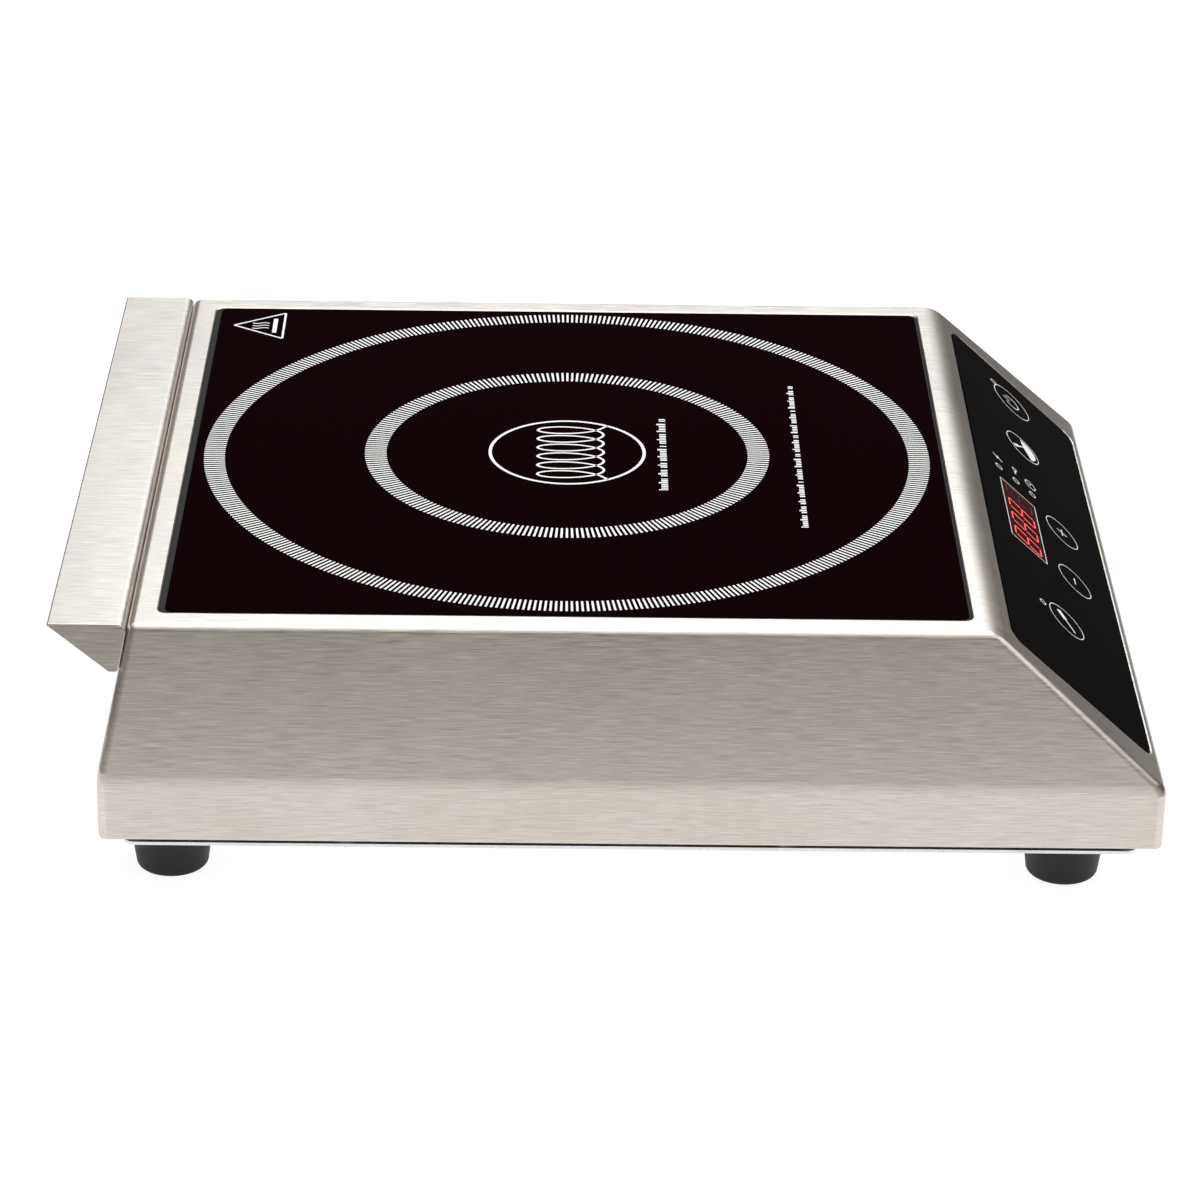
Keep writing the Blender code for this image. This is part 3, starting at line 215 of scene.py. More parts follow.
def brushed_steel(name, colour, roughness):
    """Sheet brushed along its length: streaks run along Y, and up and down on the end faces."""
    finish, tree, shader = new_finish(name, colour, roughness, 1.0, Anisotropic=0.62)
    coords = tree.nodes.new("ShaderNodeTexCoord")
    place = tree.nodes.new("ShaderNodeSeparateXYZ")
    tree.links.new(coords.outputs["Object"], place.inputs[0])
    facing = tree.nodes.new("ShaderNodeSeparateXYZ")
    tree.links.new(coords.outputs["Normal"], facing.inputs[0])
    on_side = math_node(tree, "GREATER_THAN", math_node(tree, "ABSOLUTE", facing.outputs[0]),
                        SIDE_FACING)
    across = tree.nodes.new("ShaderNodeMix")
    tree.links.new(on_side, across.inputs["Factor"])
    tree.links.new(place.outputs["X"], across.inputs["A"])
    tree.links.new(place.outputs["Z"], across.inputs["B"])
    along = math_node(tree, "ADD", place.outputs["Y"], place.outputs["Z"])

    def streaks(across_scale, along_scale, detail):
        vector = tree.nodes.new("ShaderNodeCombineXYZ")
        tree.links.new(math_node(tree, "MULTIPLY", across.outputs["Result"], across_scale),
                       vector.inputs["X"])
        tree.links.new(math_node(tree, "MULTIPLY", along, along_scale), vector.inputs["Y"])
        return noise(tree, vector.outputs[0], 1.0, detail, 0.6)

    fine = streaks(4200, 95, 3)
    broad = streaks(1900, 45, 3)
    clouds = noise(tree, coords.outputs["Object"], 14, 3)
    grain = math_node(tree, "ADD", math_node(tree, "MULTIPLY", fine, 0.65),
                      math_node(tree, "MULTIPLY", broad, 0.35))
    depth = spread(tree, grain, 0, 1, *STREAK_RANGE)
    dark, light = shades(colour, STREAK_SHADE)
    plain = tint(tree, depth, dark, light)
    dark, light = shades(WARM_STEEL, STREAK_SHADE)
    warm = tint(tree, depth, dark, light)
    blend = tree.nodes.new("ShaderNodeMix")
    blend.data_type = "RGBA"
    for socket, value in (("Factor", spread(tree, clouds, 0, 1)), ("A", plain), ("B", warm)):
        tree.links.new(value, blend.inputs[socket])
    tree.links.new(blend.outputs["Result"], shader.inputs["Base Color"])
    rough = math_node(tree, "ADD", spread(tree, grain, -0.05, 0.05, *STREAK_RANGE),
                      spread(tree, clouds, roughness - 0.025, roughness + 0.025))
    tree.links.new(rough, shader.inputs["Roughness"])
    lay = tree.nodes.new("ShaderNodeCombineXYZ")
    lay.inputs["X"].default_value = 1.0
    lay.inputs["Z"].default_value = 0.1
    tree.links.new(lay.outputs[0], shader.inputs["Tangent"])
    add_bump(tree, shader, grain, 0.02 * MM, 0.2)
    return finish


def black_glass(name, colour, level, speck):
    """Polished glass, darkened from below by fine specks, with faint wiping marks on top."""
    finish, tree, shader = new_finish(name, colour, 0.05, 0.0, Specular_IOR_Level=level,
                                      IOR=1.3)
    place = object_place(tree)
    specks = noise(tree, place, 2600, 2, 0.7)
    depth = noise(tree, place, 11, 2)
    light = [channel * speck for channel in colour]
    mix = math_node(tree, "MULTIPLY", spread(tree, specks, 0, 1, 0.45, 0.75),
                    spread(tree, depth, 0.5, 1.0))
    tree.links.new(tint(tree, mix, colour, light), shader.inputs["Base Color"])
    smears = noise(tree, place, 32, 4, 0.65)
    tree.links.new(spread(tree, smears, 0.025, 0.065), shader.inputs["Roughness"])
    return finish


def moulded(name, colour, roughness, metallic=0.0, grain=900, depth=0.03, vary=0.12, **constants):
    """A plain surface with fine grain, slow colour change and a little relief."""
    finish, tree, shader = new_finish(name, colour, roughness, metallic, **constants)
    place = object_place(tree)
    fine = noise(tree, place, grain, 3, 0.6)
    slow = noise(tree, place, 45, 3)
    both = math_node(tree, "ADD", math_node(tree, "MULTIPLY", fine, 0.5),
                     math_node(tree, "MULTIPLY", slow, 0.5))
    dark, light = shades(colour, vary)
    tree.links.new(tint(tree, spread(tree, both, 0, 1, 0.38, 0.62), dark, light),
                   shader.inputs["Base Color"])
    tree.links.new(spread(tree, both, roughness - 0.06, roughness + 0.06, 0.38, 0.62),
                   shader.inputs["Roughness"])
    add_bump(tree, shader, fine, depth * MM, 0.6)
    return finish


def wound_copper(name, colour):
    """Litz winding: fine grooves round the middle of the coil."""
    finish, tree, shader = new_finish(name, colour, 0.38, 0.85)
    coords = object_place(tree)
    wave = tree.nodes.new("ShaderNodeTexWave")
    wave.wave_type = "RINGS"
    wave.rings_direction = "Z"
    wave.inputs["Scale"].default_value = 320
    wave.inputs["Distortion"].default_value = 0.6
    move = tree.nodes.new("ShaderNodeMapping")
    move.inputs["Location"].default_value = (0, -RING_CENTRE[1], 0)
    tree.links.new(coords, move.inputs["Vector"])
    tree.links.new(move.outputs[0], wave.inputs["Vector"])
    dark, light = shades(colour, 0.35)
    tree.links.new(tint(tree, wave.outputs["Fac"], dark, light), shader.inputs["Base Color"])
    add_bump(tree, shader, wave.outputs["Fac"], 0.3 * MM, 0.7)
    return finish


def lit_segment(name, colour, strength):
    """A glowing display segment, its glow a little paler in some spots than in others."""
    finish, tree, shader = new_finish(name, colour, 0.4)
    glow = noise(tree, object_place(tree), 500, 1)
    dark, light = shades(colour, 0.25)
    tree.links.new(tint(tree, glow, dark, light), shader.inputs["Emission Color"])
    shader.inputs["Emission Strength"].default_value = strength
    return finish


FINISHES = {
    "brushed_steel": brushed_steel("brushed steel", (0.675, 0.62, 0.59), 0.385),
    "plated_steel": moulded("plated steel", (0.74, 0.75, 0.76), 0.42, 1.0, grain=700),
    "black_glass": black_glass("black ceramic glass", (0.0036, 0.0006, 0.0012), 0.02, 2.0),
    "control_glass": black_glass("black control glass", (0.0026, 0.0022, 0.0024), 0.03, 1.6),
    "grey_silicone": moulded("grey silicone", (0.026, 0.026, 0.026), 0.6, Specular_IOR_Level=0.08),
    "white_silicone": moulded("white silicone", (0.75, 0.74, 0.70), 0.6),
    "black_rubber": moulded("black rubber", (0.008, 0.008, 0.0085), 0.58, grain=1400, depth=0.05,
                            vary=0.3, Specular_IOR_Level=0.3),
    "zinc_screw": moulded("zinc plating", (0.70, 0.70, 0.68), 0.32, 1.0, grain=1500),
    "spring_steel": moulded("spring steel", (0.60, 0.60, 0.62), 0.28, 1.0, grain=1800),
    "black_plastic": moulded("black plastic", (0.022, 0.022, 0.023), 0.48, grain=1600, depth=0.06,
                             vary=0.25),
    "copper_wire": wound_copper("enamelled copper", (0.55, 0.22, 0.10)),
    "mica": moulded("mica", (0.62, 0.58, 0.50), 0.55, grain=260, vary=0.2),
    "ferrite": moulded("ferrite", (0.06, 0.06, 0.065), 0.7, grain=1200),
    "circuit_board": moulded("solder mask", (0.02, 0.16, 0.07), 0.4, grain=420, vary=0.3),
    "capacitor_case": moulded("capacitor case", (0.72, 0.55, 0.10), 0.42),
    "terminal_plastic": moulded("terminal block", (0.55, 0.60, 0.58), 0.5),
    "aluminium": moulded("aluminium", (0.72, 0.72, 0.73), 0.38, 1.0, grain=600),
    "red_lead": moulded("red lead", (0.45, 0.03, 0.02), 0.45),
    "grey_cable": moulded("grey cable", (0.35, 0.35, 0.36), 0.5),
    "white_print": moulded("white enamel", (0.84, 0.84, 0.82), 0.5, grain=2200, depth=0.01,
                           vary=0.05),
    "display_red": lit_segment("lit segment", (1.0, 0.10, 0.09), 1.1),
}
UNLIT = moulded("unlit segment", (0.040, 0.012, 0.012), 0.35)
WINDOW = black_glass("display window", (0.034, 0.004, 0.006), 0.1, 1.8)


def dress_frame():
    """Every CAD node that stays takes its slot's finish."""
    for part in frame["record"]["subparts"]:
        node = frame["nodes"][part["node"]]
        node.data.materials.clear()
        node.data.materials.append(FINISHES[part["material_slot"]])


# =================================================================================== mesh tools
def piece(name, form, slot, replaces=(), place=None, finish=None, sharp=35):
    """Turn a bmesh into one shown piece that rides on the root body."""
    mesh = bpy.data.meshes.new(name)
    form.to_mesh(mesh)
    form.free()
    if place is not None:
        mesh.transform(place)
    mesh.shade_smooth()
    mesh.set_sharp_from_angle(angle=math.radians(sharp))
    mesh.materials.append(finish or FINISHES[slot])
    item = bpy.data.objects.new(name, mesh)
    bpy.context.scene.collection.objects.link(item)
    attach(item, "root")
    if replaces:
        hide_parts(*replaces)
    return item


def in_order(items):
    """Each item once, in the order of the mesh, so that a bevel comes out the same every time."""
    return list(dict.fromkeys(items))


def slab(centre, size, low_z, high_z, corner=0.0, segments=6, edge=0.0, form=None):
    """A plate with rounded corners and, where edge is given, a rounded top rim."""
    form = form or bmesh.new()
    made = bmesh.ops.create_cube(form, size=1.0)["verts"]
    for vertex in made:
        vertex.co.x = centre[0] + vertex.co.x * size[0]
        vertex.co.y = centre[1] + vertex.co.y * size[1]
        vertex.co.z = low_z + (vertex.co.z + 0.5) * (high_z - low_z)
    edges = in_order(edge_ for vertex in made for edge_ in vertex.link_edges)
    faces = in_order(face for vertex in made for face in vertex.link_faces)
    if corner > 0:
        upright = [item for item in edges
                   if abs(item.verts[0].co.z - item.verts[1].co.z) > 0.5 * (high_z - low_z)]
        bent = bmesh.ops.bevel(form, geom=upright, offset=corner, segments=segments, profile=0.5,
                               affect="EDGES")
        faces = in_order([face for face in faces if face.is_valid] + bent["faces"])
    if edge > 0:
        top = max(faces, key=lambda face: face.calc_center_median().z)
        bmesh.ops.bevel(form, geom=list(top.edges), offset=edge, segments=3, profile=0.5,
                        affect="EDGES")
    return form


def flared(form, centre, amount, above_z):
    """Spread the part of a cutter above a height, so that it leaves a chamfer."""
    for vertex in form.verts:
        if vertex.co.z > above_z:
            vertex.co.x += math.copysign(amount, vertex.co.x - centre[0])
            vertex.co.y += math.copysign(amount, vertex.co.y - centre[1])
    return form


def drum(centre, radius, low_z, high_z, sides=32, form=None):
    form = form or bmesh.new()
    place = Matrix.Translation((centre[0], centre[1], (low_z + high_z) / 2))
    bmesh.ops.create_cone(form, cap_ends=True, segments=sides, radius1=radius, radius2=radius,
                          depth=high_z - low_z, matrix=place)
    return form


def turned(profile, steps=48, form=None):
    """A turned solid from a closed (radius, z) profile in millimetres."""
    form = form or bmesh.new()
    points = [form.verts.new((radius * MM, 0, height * MM)) for radius, height in profile]
    closed = not (profile[0][0] == 0 and profile[-1][0] == 0)
    count = len(points) if closed else len(points) - 1
    line = [form.edges.new((points[index], points[(index + 1) % len(points)]))
            for index in range(count)]
    bmesh.ops.spin(form, geom=points + line, cent=(0, 0, 0), axis=(0, 0, 1), angle=math.tau,
                   steps=steps, use_merge=True)
    bmesh.ops.remove_doubles(form, verts=form.verts, dist=0.001 * MM)
    bmesh.ops.recalc_face_normals(form, faces=form.faces)
    return form


def rounded(points, radii, segments=5):
    """A closed outline with each corner replaced by an arc of its own radius."""
    outline = []
    for index, corner in enumerate(points):
        corner = Vector(corner)
        before = (Vector(points[index - 1]) - corner).normalized()
        after = (Vector(points[(index + 1) % len(points)]) - corner).normalized()
        half = before.angle(after) / 2
        radius = radii[index]
        centre = corner + (before + after).normalized() * radius / math.sin(half)
        start = corner + before * radius / math.tan(half) - centre
        sweep = start.angle_signed(corner + after * radius / math.tan(half) - centre)
        for step in range(segments + 1):
            outline.append(centre + Matrix.Rotation(-sweep * step / segments, 2) @ start)
    return outline


def prism(outline, low, high, axis="Z", form=None):
    """A flat outline given thickness along an axis; the outline lies in the other two."""
    form = form or bmesh.new()
    spots = {"Z": lambda u, v, w: (u, v, w), "X": lambda u, v, w: (w, u, v)}[axis]
    lower = [form.verts.new(spots(u, v, low)) for u, v in outline]
    upper = [form.verts.new(spots(u, v, high)) for u, v in outline]
    made = [form.faces.new(lower[::-1]), form.faces.new(upper)]
    for index in range(len(outline)):
        following = (index + 1) % len(outline)
        made.append(form.faces.new((lower[index], lower[following],
                                    upper[following], upper[index])))
    bmesh.ops.recalc_face_normals(form, faces=made)
    return form


def as_object(name, form, place=None):
    """A plain helper object, such as a Boolean cutter."""
    mesh = bpy.data.meshes.new(name)
    form.to_mesh(mesh)
    form.free()
    if place is not None:
        mesh.transform(place)
    item = bpy.data.objects.new(name, mesh)
    bpy.context.scene.collection.objects.link(item)
    return item


def worked(item, helpers=()):
    """An object's shape with its modifiers worked in; the object and its helpers go."""
    bpy.context.view_layer.update()
    depsgraph = bpy.context.evaluated_depsgraph_get()
    mesh = bpy.data.meshes.new_from_object(item.evaluated_get(depsgraph))
    form = bmesh.new()
    form.from_mesh(mesh)
    for used in (item, *helpers):
        bpy.data.objects.remove(used, do_unlink=True)
    bpy.data.meshes.remove(mesh)
    return form


def carved(body, steps, thickness=0.0):
    """A body with Boolean steps worked into it; each step is (operation, cutter bmesh, place)."""
    item = as_object("body", body)
    if thickness:
        wall = item.modifiers.new("sheet", "SOLIDIFY")
        wall.thickness = thickness
        wall.offset = -1
        wall.use_even_offset = True
    cutters = []
    for operation, form, place in steps:
        cutter = as_object("cutter", form, place)
        step = item.modifiers.new("cut", "BOOLEAN")
        step.operation = operation
        step.solver = "EXACT"
        step.object = cutter
        cutters.append(cutter)
    return worked(item, cutters)


def ribbon(form, points, width, low, high, closed=False):
    """A printed line of even width along points in the XY plane."""
    count = len(points)
    sides = []
    for index, point in enumerate(points):
        before = Vector(points[index - 1]) if closed or index else None
        after = Vector(points[(index + 1) % count]) if closed or index < count - 1 else None
        here = Vector(point)
        first = (here - before).normalized() if before is not None else (after - here).normalized()
        second = (after - here).normalized() if after is not None else first
        normal = Vector((-first.y - second.y, first.x + second.x))
        normal = normal.normalized() if normal.length > 1e-6 else Vector((-first.y, first.x))
        reach = width / 2 / max(0.5, normal.dot(Vector((-first.y, first.x))))
        sides.append((here + normal * reach, here - normal * reach))
    rows = [[form.verts.new((*spot, height)) for spot, height in
             ((left, low), (right, low), (right, high), (left, high))] for left, right in sides]
    for index in range(count if closed else count - 1):
        near = rows[index]
        far = rows[(index + 1) % count]
        for side in range(4):
            other = (side + 1) % 4
            form.faces.new((near[side], near[other], far[other], far[side]))
    if not closed:
        form.faces.new(rows[0][::-1])
        form.faces.new(rows[-1])
    return form


def arc(centre, radius, start=0.0, end=math.tau, steps=48):
    """Points along an arc; a whole circle leaves out its last point."""
    whole = abs(end - start) >= math.tau - 1e-6
    count = steps if whole else steps + 1
    return [(centre[0] + radius * math.cos(start + (end - start) * index / steps),
             centre[1] + radius * math.sin(start + (end - start) * index / steps))
            for index in range(count)]


# ====================================================================================== housing
def fold_width(edge):
    """How far a fold of the housing reaches along the two faces it joins."""
    low, high = sorted(vertex.co.z for vertex in edge.verts)
    middle = (edge.verts[0].co + edge.verts[1].co) / 2
    if high < BEND_Z - MM:
        return FOOT_FOLD
    if low > BEND_Z + MM and middle.y < TOP_FRONT_Y + MM:
        return BROW_FOLD
    upright = high - low > MM
    if upright and (low < BEND_Z - MM or middle.y > 0):
        return CORNER_FOLD
    if high < BEND_Z + MM and middle.y > HOUSING_HIGH.y - MM:
        return BROW_FOLD
    return FOLD


def housing_skin():
    """The outer surface of the shell: upright skirt, tapering walls, flat top, turned-in foot."""
    form = bmesh.new()
    made = bmesh.ops.create_cube(form, size=1.0)["verts"]
    for vertex in made:
        vertex.co.x = math.copysign(HOUSING_HIGH.x, vertex.co.x)
        vertex.co.y = HOUSING_LOW.y if vertex.co.y < 0 else HOUSING_HIGH.y
        vertex.co.z = HOUSING_LOW.z if vertex.co.z < 0 else BEND_Z
    roof = max(form.faces, key=lambda face: face.calc_center_median().z)
    raised = bmesh.ops.extrude_discrete_faces(form, faces=[roof])["faces"][0]
    for vertex in raised.verts:
        vertex.co.x = math.copysign(TOP_WIDTH / 2, vertex.co.x)
        vertex.co.y = TOP_FRONT_Y if vertex.co.y < 0 else TOP_REAR_Y
        vertex.co.z = TOP_Z
    share = form.edges.layers.float.new("bevel_weight_edge")
    for edge in form.edges:
        edge[share] = fold_width(edge) / BROW_FOLD
    cage = as_object("cage", form)
    folds = cage.modifiers.new("folds", "BEVEL")
    folds.limit_method = "WEIGHT"
    folds.width = BROW_FOLD
    folds.segments = FOLD_SEGMENTS
    form = worked(cage)
    floor = min(form.faces, key=lambda face: face.calc_center_median().z)
    bmesh.ops.delete(form, geom=[floor], context="FACES_ONLY")
    rim = [edge for edge in form.edges if edge.is_boundary]
    turned_in = bmesh.ops.extrude_edge_only(form, edges=rim)["geom"]
    for vertex in turned_in:
        if isinstance(vertex, bmesh.types.BMVert):
            reach_x = HOUSING_HIGH.x - FLANGE
            vertex.co.x = max(-reach_x, min(reach_x, vertex.co.x))
            vertex.co.y = max(HOUSING_LOW.y + FLANGE, min(HOUSING_HIGH.y - FLANGE, vertex.co.y))
    bmesh.ops.remove_doubles(form, verts=form.verts, dist=0.01 * MM)
    bmesh.ops.recalc_face_normals(form, faces=form.faces)
    return form


def step_cuts(centre, opening, corner, top, seat, ledge, place):
    """The Boolean steps that press a ledge into a wall and open it, with a chamfered rim."""
    outer = (opening[0] + 2 * SHEET, opening[1] + 2 * SHEET)
    inner = (opening[0] - 2 * ledge, opening[1] - 2 * ledge)
    rim = slab(centre, opening, top - RIM_CHAMFER, top + RIM_CHAMFER, corner, 10)
    return [
        ("UNION", slab(centre, outer, seat - SHEET, top - SHEET / 2, corner + SHEET, 10), place),
        ("DIFFERENCE", slab(centre, opening, seat, top + SHEET, corner, 10), place),
        ("DIFFERENCE", flared(rim, centre, 2 * RIM_CHAMFER, top), place),
        ("DIFFERENCE", slab(centre, inner, seat - 2 * SHEET, seat + SHEET, corner * 0.6, 6), place),
    ]


def make_housing():
    """The folded shell with its two glass ledges, the vent slots and the cord gland's hole."""
    steps = step_cuts((0, GLASS_OPENING_Y), GLASS_OPENING, GLASS_CORNER, TOP_Z, GLASS_SEAT_Z,
                      GLASS_LEDGE, None)
    steps += step_cuts((0, -PANEL_DOWN), PANEL_OPENING, PANEL_CORNER, 0.0, -PANEL_SEAT,
                       PANEL_LEDGE, SLOPE)
    reach = 4 * SHEET
    vents = bmesh.new()
    for side in (-1, 1):
        for index in range(VENT_COUNT):
            across = side * VENT_GROUP_X + (index - (VENT_COUNT - 1) / 2) * VENT_PITCH
            slab((across, VENT_DOWN), VENT_SIZE, -reach, reach, VENT_SIZE[0] * 0.499, 7, form=vents)
    steps.append(("DIFFERENCE", vents, REAR_WALL))
    gland = Matrix.Translation(GLAND_PLACE) @ Matrix.Rotation(-math.pi / 2, 4, "X")
    steps.append(("DIFFERENCE", drum((0, 0), GLAND_HOLE_R, -reach, reach), gland))
    shell = piece("housing_shell", carved(housing_skin(), steps, SHEET), "brushed_steel",
                  ["top_housing"])
    even = shell.modifiers.new("flat faces", "WEIGHTED_NORMAL")
    even.keep_sharp = True


def make_guard():
    """The wedge-shaped guard along the rear edge, its front bend rounder than its rear edge."""
    run = (TOP_Z - GUARD_LOW.z) * math.tan(REAR_TILT)
    front = TOP_REAR_Y + GUARD_GAP
    points = ((front, TOP_Z), (front + run, GUARD_LOW.z), (front + run + GUARD_TIP, GUARD_LOW.z),
              (GUARD_HIGH.y, TOP_Z - GUARD_BRIM), (GUARD_HIGH.y - GUARD_BRIM, TOP_Z))
    outline = rounded(points, GUARD_FOLDS)
    form = prism(outline, -TOP_WIDTH / 2, TOP_WIDTH / 2, "X")
    for vertex in form.verts:
        vertex.co.x += math.copysign((TOP_Z - vertex.co.z) * SIDE_TAPER, vertex.co.x)
    ends = [face for face in form.faces if abs(face.normal.x) > 0.9]
    edges = in_order(edge for face in ends for edge in face.edges)
    bmesh.ops.bevel(form, geom=edges, offset=GUARD_END_FOLD, segments=4, profile=0.5,
                    affect="EDGES", clamp_overlap=True)
    shell = piece("guard_shell", form, "brushed_steel", ["rear_guard"], sharp=50)
    even = shell.modifiers.new("flat faces", "WEIGHTED_NORMAL")
    even.keep_sharp = True


# ================================================================================ cooking glass
def make_cooking_glass():
    """The glass plate, and the silicone bead that fills the gap round it and carries it."""
    centre = (0, (GLASS_LOW.y + GLASS_HIGH.y) / 2)
    size = (GLASS_HIGH.x - GLASS_LOW.x, GLASS_HIGH.y - GLASS_LOW.y)
    glass = slab(centre, size, GLASS_LOW.z, GLASS_HIGH.z - GLASS_DROP, 3 * MM, 8, GLASS_EDGE)
    piece("cooking_glass", glass, "black_glass", ["glass_top"])
    middle = (0, GLASS_OPENING_Y)
    outer = (SEAL_HIGH.x - SEAL_LOW.x, SEAL_HIGH.y - SEAL_LOW.y)
    inner = (outer[0] - 2 * SEAL_WIDTH, outer[1] - 2 * SEAL_WIDTH)
    around = (size[0] + 2 * SEAL_GAP, size[1] + 2 * SEAL_GAP)
    bead = slab(middle, outer, SEAL_LOW.z, SEAL_HIGH.z - 0.1 * MM, 3.3 * MM, 8, SEAL_EDGE)
    step = slab(centre, around, GLASS_LOW.z - SEAL_GAP, TOP_Z + SHEET, 3.1 * MM, 8)
    hole = slab(middle, inner, SEAL_LOW.z - SHEET, TOP_Z, 3 * MM)
    form = carved(bead, [("DIFFERENCE", step, None), ("DIFFERENCE", hole, None)])
    piece("glass_seal_bead", form, "grey_silicone", ["glass_seal"])


def print_on_glass(name, form):
    """A printed mark, drawn in millimetres from the middle of the rings."""
    low = GLASS_HIGH.z - GLASS_DROP - PRINT_SUNK
    place = (Matrix.Translation((RING_CENTRE[0], RING_CENTRE[1], low))
             @ Matrix.Diagonal((MM, MM, PRINT_THICK, 1)))
    bmesh.ops.recalc_face_normals(form, faces=form.faces)
    piece(name, form, "white_print", place=place)


def make_rings():
    """Two printed rings of radial ticks round the cooking zone."""
    for name, inner, outer, count in RINGS:
        form = bmesh.new()
        for index in range(count):
            middle = index / count * math.tau
            half = TICK_SHARE / count * math.pi
            outline = [(radius * math.cos(angle), radius * math.sin(angle)) for radius, angle in
                       ((inner, middle - half), (outer, middle - half),
                        (outer, middle + half), (inner, middle + half))]
            prism(outline, 0, 1, "Z", form)
        print_on_glass(name, form)


def make_coil_symbol():
    """A circle round the side view of a coil whose two ends run into the circle."""
    radius = 28.9
    turns = 6
    pitch = 8.1
    height = 12.4
    drop = 1.3
    sway = 0.615 * pitch
    foot = (24.6, -15.2)
    form = bmesh.new()
    ribbon(form, arc((0, 0), radius, steps=120), 1.2, 0, 1, closed=True)
    line = []
    lead = 0.42 * math.tau         # how much of a turn runs on past the first and last loop
    steps = 44
    total = (turns - 1) * math.tau + 2 * lead
    for index in range(turns * steps + 1):
        turn = -lead + total * index / (turns * steps)
        across = pitch * (turn / math.tau - (turns - 1) / 2) - sway * math.sin(turn)
        line.append((across, height * math.cos(turn) - drop))
    line = [(-foot[0], foot[1]), *line, foot]
    ribbon(form, line, 0.95, 0, 1)
    print_on_glass("coil_symbol", form)


def make_hot_symbol():
    """A rounded triangle with three wavy strokes over a bar."""
    form = bmesh.new()
    apex = Vector((121.4, 133.4))
    left = Vector((134.4, 113.4))
    right = Vector((108.0, 113.4))
    ribbon(form, rounded((apex, left, right), (0.4, 0.4, 0.4), 4), 0.85, 0, 1, closed=True)
    middle = (left + right) / 2
    ribbon(form, [middle + Vector((-7.2, 3.6)), middle + Vector((7.2, 3.6))], 1.7, 0, 1)
    for offset in (-2.6, 0, 2.6):
        wave = [(middle.x + offset + 0.45 * math.sin(step / 12 * math.tau),
                 middle.y + 6.0 + step * 0.55) for step in range(13)]
        ribbon(form, wave, 0.6, 0, 1)
    print_on_glass("hot_symbol", form)


def make_notice(name, half, middle, height):
    """A line of small blocks in word-like groups, standing for a printed notice."""
    form = bmesh.new()
    place = -half
    index = 0
    while place < half:
        width = 0.75 + 0.45 * ((index * 7) % 3) / 2
        tall = height * (1.0 if (index * 5) % 4 == 0 else 0.72)
        low = middle - height / 2
        outline = ((place, low), (place + width, low),
                   (place + width, low + tall), (place, low + tall))
        prism(outline, 0, 1, "Z", form)
        index += 1
        word_ends = index % 7 == 0 or index % 11 == 0
        place += width + (2.1 if word_ends else 0.62)
    print_on_glass(name, form)


# ================================================================================ control panel
def make_control_glass():
    size = (PANEL_OPENING[0] - 2 * PANEL_MARGIN, PANEL_OPENING[1] - 2 * PANEL_MARGIN)
    form = slab((0, -PANEL_DOWN), size, -PANEL_THICK, 0, PANEL_CORNER - PANEL_MARGIN, 8, 0.6 * MM)
    piece("control_glass_sheet", form, "control_glass", ["control_glass"], SLOPE)


def print_on_panel(name, form, slot="white_print", finish=None, level=0.0):
    """A mark on the control glass, drawn in millimetres: X across, Y up the slope."""
    place = (SLOPE @ Matrix.Translation((0, 0, level - PRINT_SUNK))
             @ Matrix.Diagonal((MM, MM, PRINT_THICK, 1)))
    bmesh.ops.recalc_face_normals(form, faces=form.faces)
    return piece(name, form, slot, place=place, finish=finish)


def ring(form, centre, radius, width=0.38):
    ribbon(form, arc((centre[0], -centre[1]), radius, steps=64), width, 0, 1, closed=True)


def strokes(form, centre, size, lines, width=0.44):
    """Lines given in a symbol's own square, from -1 to 1 each way."""
    for line in lines:
        points = [(centre[0] + u * size, -centre[1] + v * size) for u, v in line]
        ribbon(form, points, width, 0, 1)


def window_outline(inset, radius):
    """The display window's outline in millimetres, set in from its frame line."""
    left, low, right, high = DISPLAY_BOX
    corners = ((left + inset, low + inset), (right - inset, low + inset),
               (right - inset, high - inset), (left + inset, high - inset))
    return rounded(corners, (radius,) * 4, 3)


